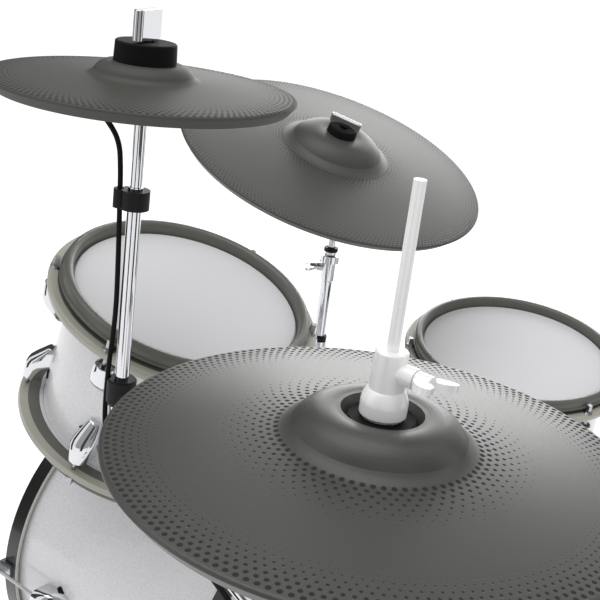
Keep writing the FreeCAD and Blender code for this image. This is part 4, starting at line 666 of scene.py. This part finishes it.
@dataclass
class CrashCable:
    """Cable of the crash pad: down beside the rod, along the arm, down the hi-hat stand, then coiled."""

    radius: float = 2.75 * MM
    # Millimetres, from the pad to the coil
    route: tuple[Point, ...] = (
        (-403.6, 74.1, 1042.5), (-400.7, 70.6, 1021.0), (-389.9, 57.5, 1005.0), (-381.4, 47.1, 985.0),
        (-379.5, 44.8, 956.0), (-378.8, 44.0, 927.0), (-377.2, 42.0, 865.0), (-376.1, 40.7, 800.0),
        (-378.9, 44.1, 735.0), (-379.4, 44.7, 683.0), (-389.7, 28.4, 661.0), (-411.7, -27.2, 656.1),
        (-537.1, -304.8, 690.9), (-560.8, -380.3, 640.0), (-567.6, -401.2, 560.0), (-567.6, -401.2, 330.0),
        (-566.7, -398.3, 250.0), (-564.8, -392.6, 180.0), (-561.4, -382.2, 122.0), (-555.2, -363.1, 72.0),
        (-546.0, -334.6, 34.0), (-534.8, -300.4, 9.0), (-522.5, -262.3, 2.95), (-510.7, -226.2, 2.95))
    heading: tuple[float, float] = (0.309, 0.9511)
    still_below: float = 0.735
    coil_radius: float = 37.0 * MM
    coil_pitch: float = 6.2 * MM
    coil_turns: float = 5.5
    climb_turns: float = 0.5
    points_per_turn: int = 16
    tail: float = 31.0 * MM
    lead_in: float = 5.5 * MM
    real_length: float = 2.6

    def control_points(self) -> list[Vector]:
        """Points that steer the cable's line.

        Returns:
            The route from the pad to the floor, the coil's turns and the straight end.
        """
        way = Vector((*self.heading, 0)).normalized()
        side = Vector((way.y, -way.x, 0))
        points = [Vector(place) * MM for place in self.route]
        centre = points[-1] + way * self.lead_in + side * self.coil_radius
        half = self.coil_turns / 2
        steps = round(self.coil_turns * self.points_per_turn)
        for k in range(steps + 1):
            turn = self.coil_turns * k / steps
            radius = self.coil_radius - self.coil_pitch * (half - abs(turn - half))
            climb = min(1.0, max(0.0, (turn - half) / self.climb_turns + 0.5))
            lift = self.coil_pitch * climb * climb * (3 - 2 * climb)
            angle = 2 * math.pi * turn
            points.append(centre + way * radius * math.sin(angle) - side * radius * math.cos(angle)
                          + Vector((0, 0, lift)))
        finish = points[-1] - points[-2]
        finish.z = 0
        points.append(points[-1] + finish.normalized() * self.tail)
        return points

    def line(self, name: str) -> bpy.types.Object:
        """The cable's line as a smooth curve.

        Args:
            name: Name of the curve object.

        Returns:
            A curve of one open spline, linked into the scene.
        """
        curve = bpy.data.curves.new(name, "CURVE")
        curve.dimensions = "3D"
        curve.resolution_u = 8
        points = self.control_points()
        spline = curve.splines.new("NURBS")
        spline.points.add(len(points) - 1)
        for slot, point in zip(spline.points, points):
            slot.co = (*point, 1.0)
        spline.order_u = 3
        spline.use_endpoint_u = True
        made = bpy.data.objects.new(name, curve)
        bpy.context.scene.collection.objects.link(made)
        return made

    def build(self) -> bpy.types.Object:
        """Returns:
            The cable's mesh.
        """
        cable = self.line("crash_cable_cord")
        bpy.context.view_layer.update()
        thread = bpy.data.meshes.new_from_object(cable)
        bpy.data.meshes.remove(thread)
        cable.data.bevel_depth = self.radius
        cable.data.bevel_resolution = 3
        cable.data.use_fill_caps = True
        only(cable)
        bpy.ops.object.convert(target="MESH")
        cable = bpy.context.view_layer.objects.active
        dress(cable, BLACK_RUBBER)
        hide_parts("crash_cable", "crash_cable_coil")
        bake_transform(cable)
        return cable


@dataclass
class Drum:
    """One drum's lugs, rounded as die-castings are, and the thin black gasket under each.

    Sizes are in millimetres: radius is the shell's, front is how far the lugs reach from the axis, and
    phase is the first lug's angle in degrees.
    """

    name: str
    axis: Axis
    radius: float
    front: float
    phase: float
    # Place of the rod ends of each row of lugs along the axis, and the way the lugs run from there
    rows: tuple[tuple[float, Runs], ...]
    body: Body = Body.KIT
    lug_tall: float = LUG_TALL
    lug_wide: float = 31.0
    lug_round: float = 0.8
    lug_sink: float = 1.0
    lugs: int = 6
    nose_sides: int = 40
    mouth_wall: float = 2.4
    mouth_deep: float = 8.0
    gasket_thick: float = 2.0
    gasket_round: float = 0.5
    shell_sides: int = 180
    sleeve_tall: float = 160.0
    # Shares of the length, width and depth, from the rod end to the nose
    stations: tuple[tuple[float, float, float], ...] = (
        (0.0, 0.8, 1.0), (0.22, 0.93, 1.0), (0.44, 1.0, 0.98), (0.58, 0.96, 0.87), (0.72, 0.85, 0.67),
        (0.86, 0.7, 0.46), (0.95, 0.58, 0.33), (1.0, 0.46, 0.24))

    def outline(self) -> list[tuple[float, float]]:
        """The gasket's outline.

        Returns:
            Corners in millimetres, sideways and along the axis, anticlockwise from outside.
        """
        grow = self.lug_tall / LUG_TALL
        half = ((-11.5, 2.0), (-14.2, 0.0), (-16.6, -12.0), (-17.7, -24.0), (-16.8, -33.0), (-14.2, -42.0),
                (-10.8, -50.0), (-7.0, -54.5))
        left = [(side, along * grow) for side, along in half]
        return left + [(-side, along) for side, along in reversed(left)]

    def gasket(self) -> bpy.types.Object:
        """Model one gasket on the shell's +X side, its lug's rod end at the origin's height.

        Returns:
            The gasket.
        """
        only_none()
        bpy.ops.mesh.primitive_cylinder_add(vertices=self.shell_sides, radius=self.radius * MM,
                                            depth=self.sleeve_tall * MM, end_fill_type="NOTHING")
        made = bpy.context.active_object
        bpy.ops.object.mode_set(mode="EDIT")
        corners = self.outline()
        cuts = [((0, 0, 0), (-1, 0, 0))]
        for here, there in zip(corners, corners[1:] + corners[:1]):
            cuts.append(((0, here[0] * MM, here[1] * MM), (0, there[1] - here[1], here[0] - there[0])))
        for place, way in cuts:
            bpy.ops.mesh.select_all(action="SELECT")
            bpy.ops.mesh.bisect(plane_co=place, plane_no=way, clear_outer=True)
        bpy.ops.object.mode_set(mode="OBJECT")
        only(made)
        thicken(made, self.gasket_thick * MM, self.gasket_round * MM)
        return made

    def lug(self) -> bpy.types.Object:
        """Model one lug on the shell's +X side, its rod end up at the origin's height.

        Returns:
            The lug.
        """
        back = math.sqrt(self.radius ** 2 - (self.lug_wide / 2) ** 2) - self.lug_sink
        _, wide, deep = self.stations[0]
        nose = self.lug_wide * wide / 2
        nose_at = self.front - nose
        only_none()
        bpy.ops.mesh.primitive_circle_add(vertices=self.nose_sides, radius=nose * MM, fill_type="NGON",
                                          location=(nose_at * MM, 0, 0))
        made = bpy.context.active_object
        bpy.ops.object.transform_apply(location=True, rotation=False, scale=False)
        bpy.ops.object.mode_set(mode="EDIT")
        bpy.ops.mesh.select_all(action="SELECT")
        bpy.ops.mesh.bisect(plane_co=(nose_at * MM, 0, 0), plane_no=(-1, 0, 0), clear_outer=True)
        bpy.ops.mesh.extrude_region_move(TRANSFORM_OT_translate={"value": ((back - nose_at) * MM, 0, 0)})
        bpy.ops.mesh.select_all(action="SELECT")
        done = 0.0
        for along, wider, deeper in self.stations[1:]:
            bpy.ops.mesh.extrude_region_move(
                TRANSFORM_OT_translate={"value": (0, 0, (done - along) * self.lug_tall * MM)})
            bpy.ops.transform.resize(value=(deeper / deep, wider / wide, 1),
                                     center_override=(back * MM, 0, -along * self.lug_tall * MM))
            done, wide, deep = along, wider, deeper
        bpy.ops.mesh.select_all(action="SELECT")
        bpy.ops.mesh.normals_make_consistent(inside=False)
        bpy.ops.mesh.select_mode(type="FACE")
        bpy.ops.mesh.select_all(action="DESELECT")
        bpy.ops.object.mode_set(mode="OBJECT")
        for face in made.data.polygons:
            face.select = face.center.z > -TINY
        bpy.ops.object.mode_set(mode="EDIT")
        bpy.ops.mesh.inset(thickness=self.mouth_wall * MM)
        bpy.ops.mesh.extrude_region_move(TRANSFORM_OT_translate={"value": (0, 0, -self.mouth_deep * MM)})
        bpy.ops.mesh.select_mode(type="VERT")
        bpy.ops.object.mode_set(mode="OBJECT")
        only(made)
        edge = made.modifiers.new("edge", "BEVEL")
        edge.width = self.lug_round * MM
        edge.segments = 3
        edge.angle_limit = SMOOTH_ANGLE
        bpy.ops.object.modifier_apply(modifier="edge")
        bpy.ops.object.shade_smooth_by_angle(angle=SMOOTH_ANGLE)
        return made

    def places(self) -> list[Matrix]:
        """Where the lugs sit.

        Returns:
            A placement for each lug, modelled on the +X side with its rod end up.
        """
        along = Vector(self.axis.lean).normalized()
        across = along.cross(Vector((1, 0, 0))).normalized()
        turn = Matrix((across.cross(along), across, along)).transposed().to_4x4()
        home = Matrix.Translation(Vector(self.axis.middle) * MM) @ turn
        made = []
        for start, runs in self.rows:
            flip = Matrix.Rotation(math.pi if runs is Runs.ALONG else 0.0, 4, "X")
            for k in range(self.lugs):
                turned = Matrix.Rotation(math.radians(self.phase + 360 / self.lugs * k), 4, "Z")
                made.append(home @ turned @ Matrix.Translation((0, 0, start * MM)) @ flip)
        return made

    def build(self) -> list[bpy.types.Object]:
        """Put a lug and its gasket in every place.

        Returns:
            The lugs and gaskets.
        """
        made = []
        for kind, pattern, finish in (("lug", self.lug(), CHROME), ("gasket", self.gasket(), BLACK_RUBBER)):
            for number, place in enumerate(self.places(), 1):
                piece = pattern.copy()
                piece.data = pattern.data.copy()
                piece.data.transform(place)
                piece.name = f"{self.name}_{kind}_{number:02d}"
                bpy.context.scene.collection.objects.link(piece)
                dress(piece, finish)
                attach(piece, self.body.value)
                if kind == "lug":
                    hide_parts(f"{self.name}_lugs")
                made.append(piece)
            bpy.data.objects.remove(pattern)
        return made


@dataclass
class TubeRing:
    """Black ring at the top of a stand tube, round the tube that slides in it; sizes in millimetres."""

    name: str
    foot: Point
    inner: float
    outer: float
    tall: float
    edge: float = 0.8
    sides: int = 64

    def build(self) -> bpy.types.Object:
        """Model the ring.

        Returns:
            The ring.
        """
        only_none()
        bpy.ops.mesh.primitive_circle_add(vertices=self.sides, radius=self.inner * MM)
        made = bpy.context.active_object
        made.name = self.name
        bpy.ops.object.mode_set(mode="EDIT")
        bpy.ops.mesh.select_all(action="SELECT")
        bpy.ops.mesh.extrude_region_move(TRANSFORM_OT_translate={"value": (0, 0, self.tall * MM)})
        bpy.ops.mesh.select_all(action="SELECT")
        bpy.ops.mesh.normals_make_consistent(inside=False)
        bpy.ops.object.mode_set(mode="OBJECT")
        only(made)
        thicken(made, (self.outer - self.inner) * MM, self.edge * MM)
        made.data.transform(Matrix.Translation(Vector(self.foot) * MM))
        dress(made, BLACK_PLASTIC)
        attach(made, Body.KIT.value)
        return made


DRUMS = (
    Drum("tom", TOM_AXIS, TOM_RADIUS, front=177.7, phase=14.0,
         rows=((-45, Runs.BACK), (-196, Runs.ALONG)), body=Body.TOM),
    Drum("floor_tom", FLOOR_TOM_AXIS, FLOOR_TOM_RADIUS, front=188.7, phase=10.0,
         rows=((-45, Runs.BACK), (-285, Runs.ALONG))),
    Drum("snare", SNARE_AXIS, SNARE_RADIUS, front=177.7, phase=0.0,
         rows=((-45, Runs.BACK), (-107, Runs.ALONG)), lug_tall=28.0),
    Drum("kick", KICK_AXIS, KICK_RADIUS, front=261.0, phase=0.0,
         rows=((78, Runs.ALONG), (305, Runs.BACK))),
)
TUBE_RINGS = (
    TubeRing("ride_upper_ring", (307, 264, 690.2), inner=6.4, outer=11.6, tall=7.0),
    TubeRing("ride_base_ring", (307, 264, 530.2), inner=10.0, outer=13.0, tall=9.0),
)


@dataclass(frozen=True)
class Softbox:
    name: str
    azimuth: float
    elevation: float
    distance: float
    wide: float
    tall: float
    power: float


SOFTBOXES = (
    Softbox("back_softbox", 30, 16, 3.5, wide=2.5, tall=1.8, power=56),
    Softbox("top_softbox", 146.31, 75.558, 2.8914, wide=2.5, tall=2.5, power=30),
)


@dataclass(frozen=True)
class Card:
    name: str
    azimuth: tuple[float, float]
    elevation: tuple[float, float]
    distance: float
    glow: float = 0.06


CARDS = (
    Card("far_side_card", (56, 100), (-10, 45), 3.8),
    Card("far_top_card", (-25, 58), (35, 75), 3.8),
    Card("far_corner_card", (58, 105), (38, 78), 3.9),
    Card("camera_side_card", (160, 230), (-4, 60), 4.5, 0.4),
    Card("player_side_card", (230, 300), (-4, 60), 4.5, 0.4),
    Card("left_card", (120, 140), (-21, 40), 2.2),
    Card("near_left_card", (190, 205), (-21, 40), 2.2),
    Card("near_card", (250, 275), (-21, 40), 2.2),
    Card("right_card", (312, 338), (-21, 40), 2.2),
)


@dataclass
class Studio:
    """Camera, lamps, floor and white surroundings, with places in metres."""

    camera_at: Point = (-1.1248, -0.7593, 1.2307)
    camera_right: Point = (0.6301, -0.7674, 0.121)
    camera_up: Point = (0.1916, 0.3046, 0.933)
    lens: float = 66.0
    sensor: float = 36.0
    near_clip: float = 0.05
    far_clip: float = 200.0
    floor_half: float = 40.0
    floor_drop: float = 0.2 * MM
    floor_colour: str = "#f4f4f4"
    floor_glow: float = 1.3
    floor_glow_share: float = 0.62
    world_strength: float = 0.78
    middle: Point = (0.0, 0.0, 0.8)

    def camera(self) -> None:
        """Stand the camera where the picture was taken from."""
        data = bpy.data.cameras.new("camera")
        data.lens = self.lens
        data.sensor_width = self.sensor
        data.clip_start = self.near_clip
        data.clip_end = self.far_clip
        made = bpy.data.objects.new("camera", data)
        bpy.context.scene.collection.objects.link(made)
        right = Vector(self.camera_right).normalized()
        up = Vector(self.camera_up)
        up = (up - right * up.dot(right)).normalized()
        back = right.cross(up)
        turn = Matrix((right, up, back)).transposed().to_4x4()
        made.matrix_world = Matrix.Translation(self.camera_at) @ turn
        bpy.context.scene.camera = made

    def seen(self, tree: Tree) -> Socket:
        """1 for rays that show the background: straight from the camera, or by way of metal or glass.

        Args:
            tree: Node tree of the floor or the world.

        Returns:
            The mask.
        """
        path = add_node(tree, "ShaderNodeLightPath")
        shown = path.outputs["Is Camera Ray"]
        for ray in ("Is Glossy Ray", "Is Transmission Ray"):
            shown = add_node(tree, "ShaderNodeMath", {0: shown, 1: path.outputs[ray]},
                             operation="MAXIMUM").outputs[0]
        return shown

    def world(self) -> None:
        world = bpy.data.worlds.new("white_studio")
        bpy.context.scene.world = world
        world.use_nodes = True
        tree = world.node_tree
        tree.nodes.clear()
        light = add_node(tree, "ShaderNodeBackground", {"Color": WHITE, "Strength": self.world_strength})
        white = add_node(tree, "ShaderNodeBackground", {"Color": WHITE, "Strength": 1.0})
        mixed = add_node(tree, "ShaderNodeMixShader",
                         {0: self.seen(tree), 1: light.outputs[0], 2: white.outputs[0]})
        add_node(tree, "ShaderNodeOutputWorld", {"Surface": mixed.outputs[0]})

    def floor(self) -> None:
        only_none()
        bpy.ops.mesh.primitive_plane_add(size=2 * self.floor_half, location=(0, 0, -self.floor_drop))
        made = bpy.context.active_object
        made.name = "studio_floor"
        paint = bpy.data.materials.new("white_sweep")
        paint.use_nodes = True
        tree = paint.node_tree
        tree.nodes.clear()
        matt = add_node(tree, "ShaderNodeBsdfDiffuse", {"Color": linear(self.floor_colour)})
        white = add_node(tree, "ShaderNodeEmission", {"Color": WHITE, "Strength": self.floor_glow})
        share = add_node(tree, "ShaderNodeMath", {0: self.seen(tree), 1: self.floor_glow_share},
                         operation="MULTIPLY")
        mixed = add_node(tree, "ShaderNodeMixShader",
                         {0: share.outputs[0], 1: matt.outputs[0], 2: white.outputs[0]})
        add_node(tree, "ShaderNodeOutputMaterial", {"Surface": mixed.outputs[0]})
        made.data.materials.append(paint)

    def toward(self, azimuth: float, elevation: float, distance: float) -> Vector:
        """Args:
            azimuth: Degrees from +X.
            elevation: Degrees above the level.
            distance: How far away.

        Returns:
            The point.
        """
        around, above = math.radians(azimuth), math.radians(elevation)
        level = math.cos(above)
        way = Vector((level * math.cos(around), level * math.sin(around), math.sin(above)))
        return Vector(self.middle) + way * distance

    def lamp(self, softbox: Softbox) -> None:
        """Args:
            softbox: Its place, size and power.
        """
        data = bpy.data.lights.new(softbox.name, "AREA")
        data.shape = "RECTANGLE"
        data.size = softbox.wide
        data.size_y = softbox.tall
        data.energy = softbox.power
        made = bpy.data.objects.new(softbox.name, data)
        bpy.context.scene.collection.objects.link(made)
        made.location = self.toward(softbox.azimuth, softbox.elevation, softbox.distance)
        aim = Vector(self.middle) - made.location
        made.rotation_euler = aim.to_track_quat("-Z", "Y").to_euler()

    def card(self, card: Card) -> None:
        """Stand a dark card that gives the chrome and the pads something to reflect.

        Args:
            card: Where it stands.
        """
        only_none()
        bpy.ops.mesh.primitive_plane_add(size=1)
        made = bpy.context.active_object
        made.name = card.name
        corners = [(around, above) for above in card.elevation for around in card.azimuth]
        for vertex, (around, above) in zip(made.data.vertices, corners):
            vertex.co = self.toward(around, above, card.distance)
        paint = bpy.data.materials.new(card.name)
        paint.use_nodes = True
        tree = paint.node_tree
        tree.nodes.clear()
        dim = add_node(tree, "ShaderNodeEmission", {"Color": WHITE, "Strength": card.glow})
        add_node(tree, "ShaderNodeOutputMaterial", {"Surface": dim.outputs[0]})
        made.data.materials.append(paint)
        made.visible_camera = False
        made.visible_diffuse = False
        made.visible_transmission = False
        made.visible_volume_scatter = False
        made.visible_shadow = False

    def build(self) -> None:
        """Set up the studio."""
        bpy.context.scene.view_settings.view_transform = "Standard"
        self.camera()
        self.world()
        self.floor()
        for softbox in SOFTBOXES:
            self.lamp(softbox)
        for card in CARDS:
            self.card(card)


def main() -> None:
    """Build the studio, dress the solids and add the cable, the lugs and the trim."""
    logging.basicConfig(level=logging.INFO)
    Studio().build()
    for finish, names in NODE_FINISHES.items():
        for name in names:
            dress(frame["nodes"][name], finish)
            LOG.info("%s: %s", name, finish.name)
    trim = [CrashCable().build()]
    for drum in DRUMS:
        trim += drum.build()
    trim += [ring.build() for ring in TUBE_RINGS]
    for piece in trim:
        LOG.info("%s: %d faces", piece.name, len(piece.data.polygons))


if __name__ == "__main__":
    main()
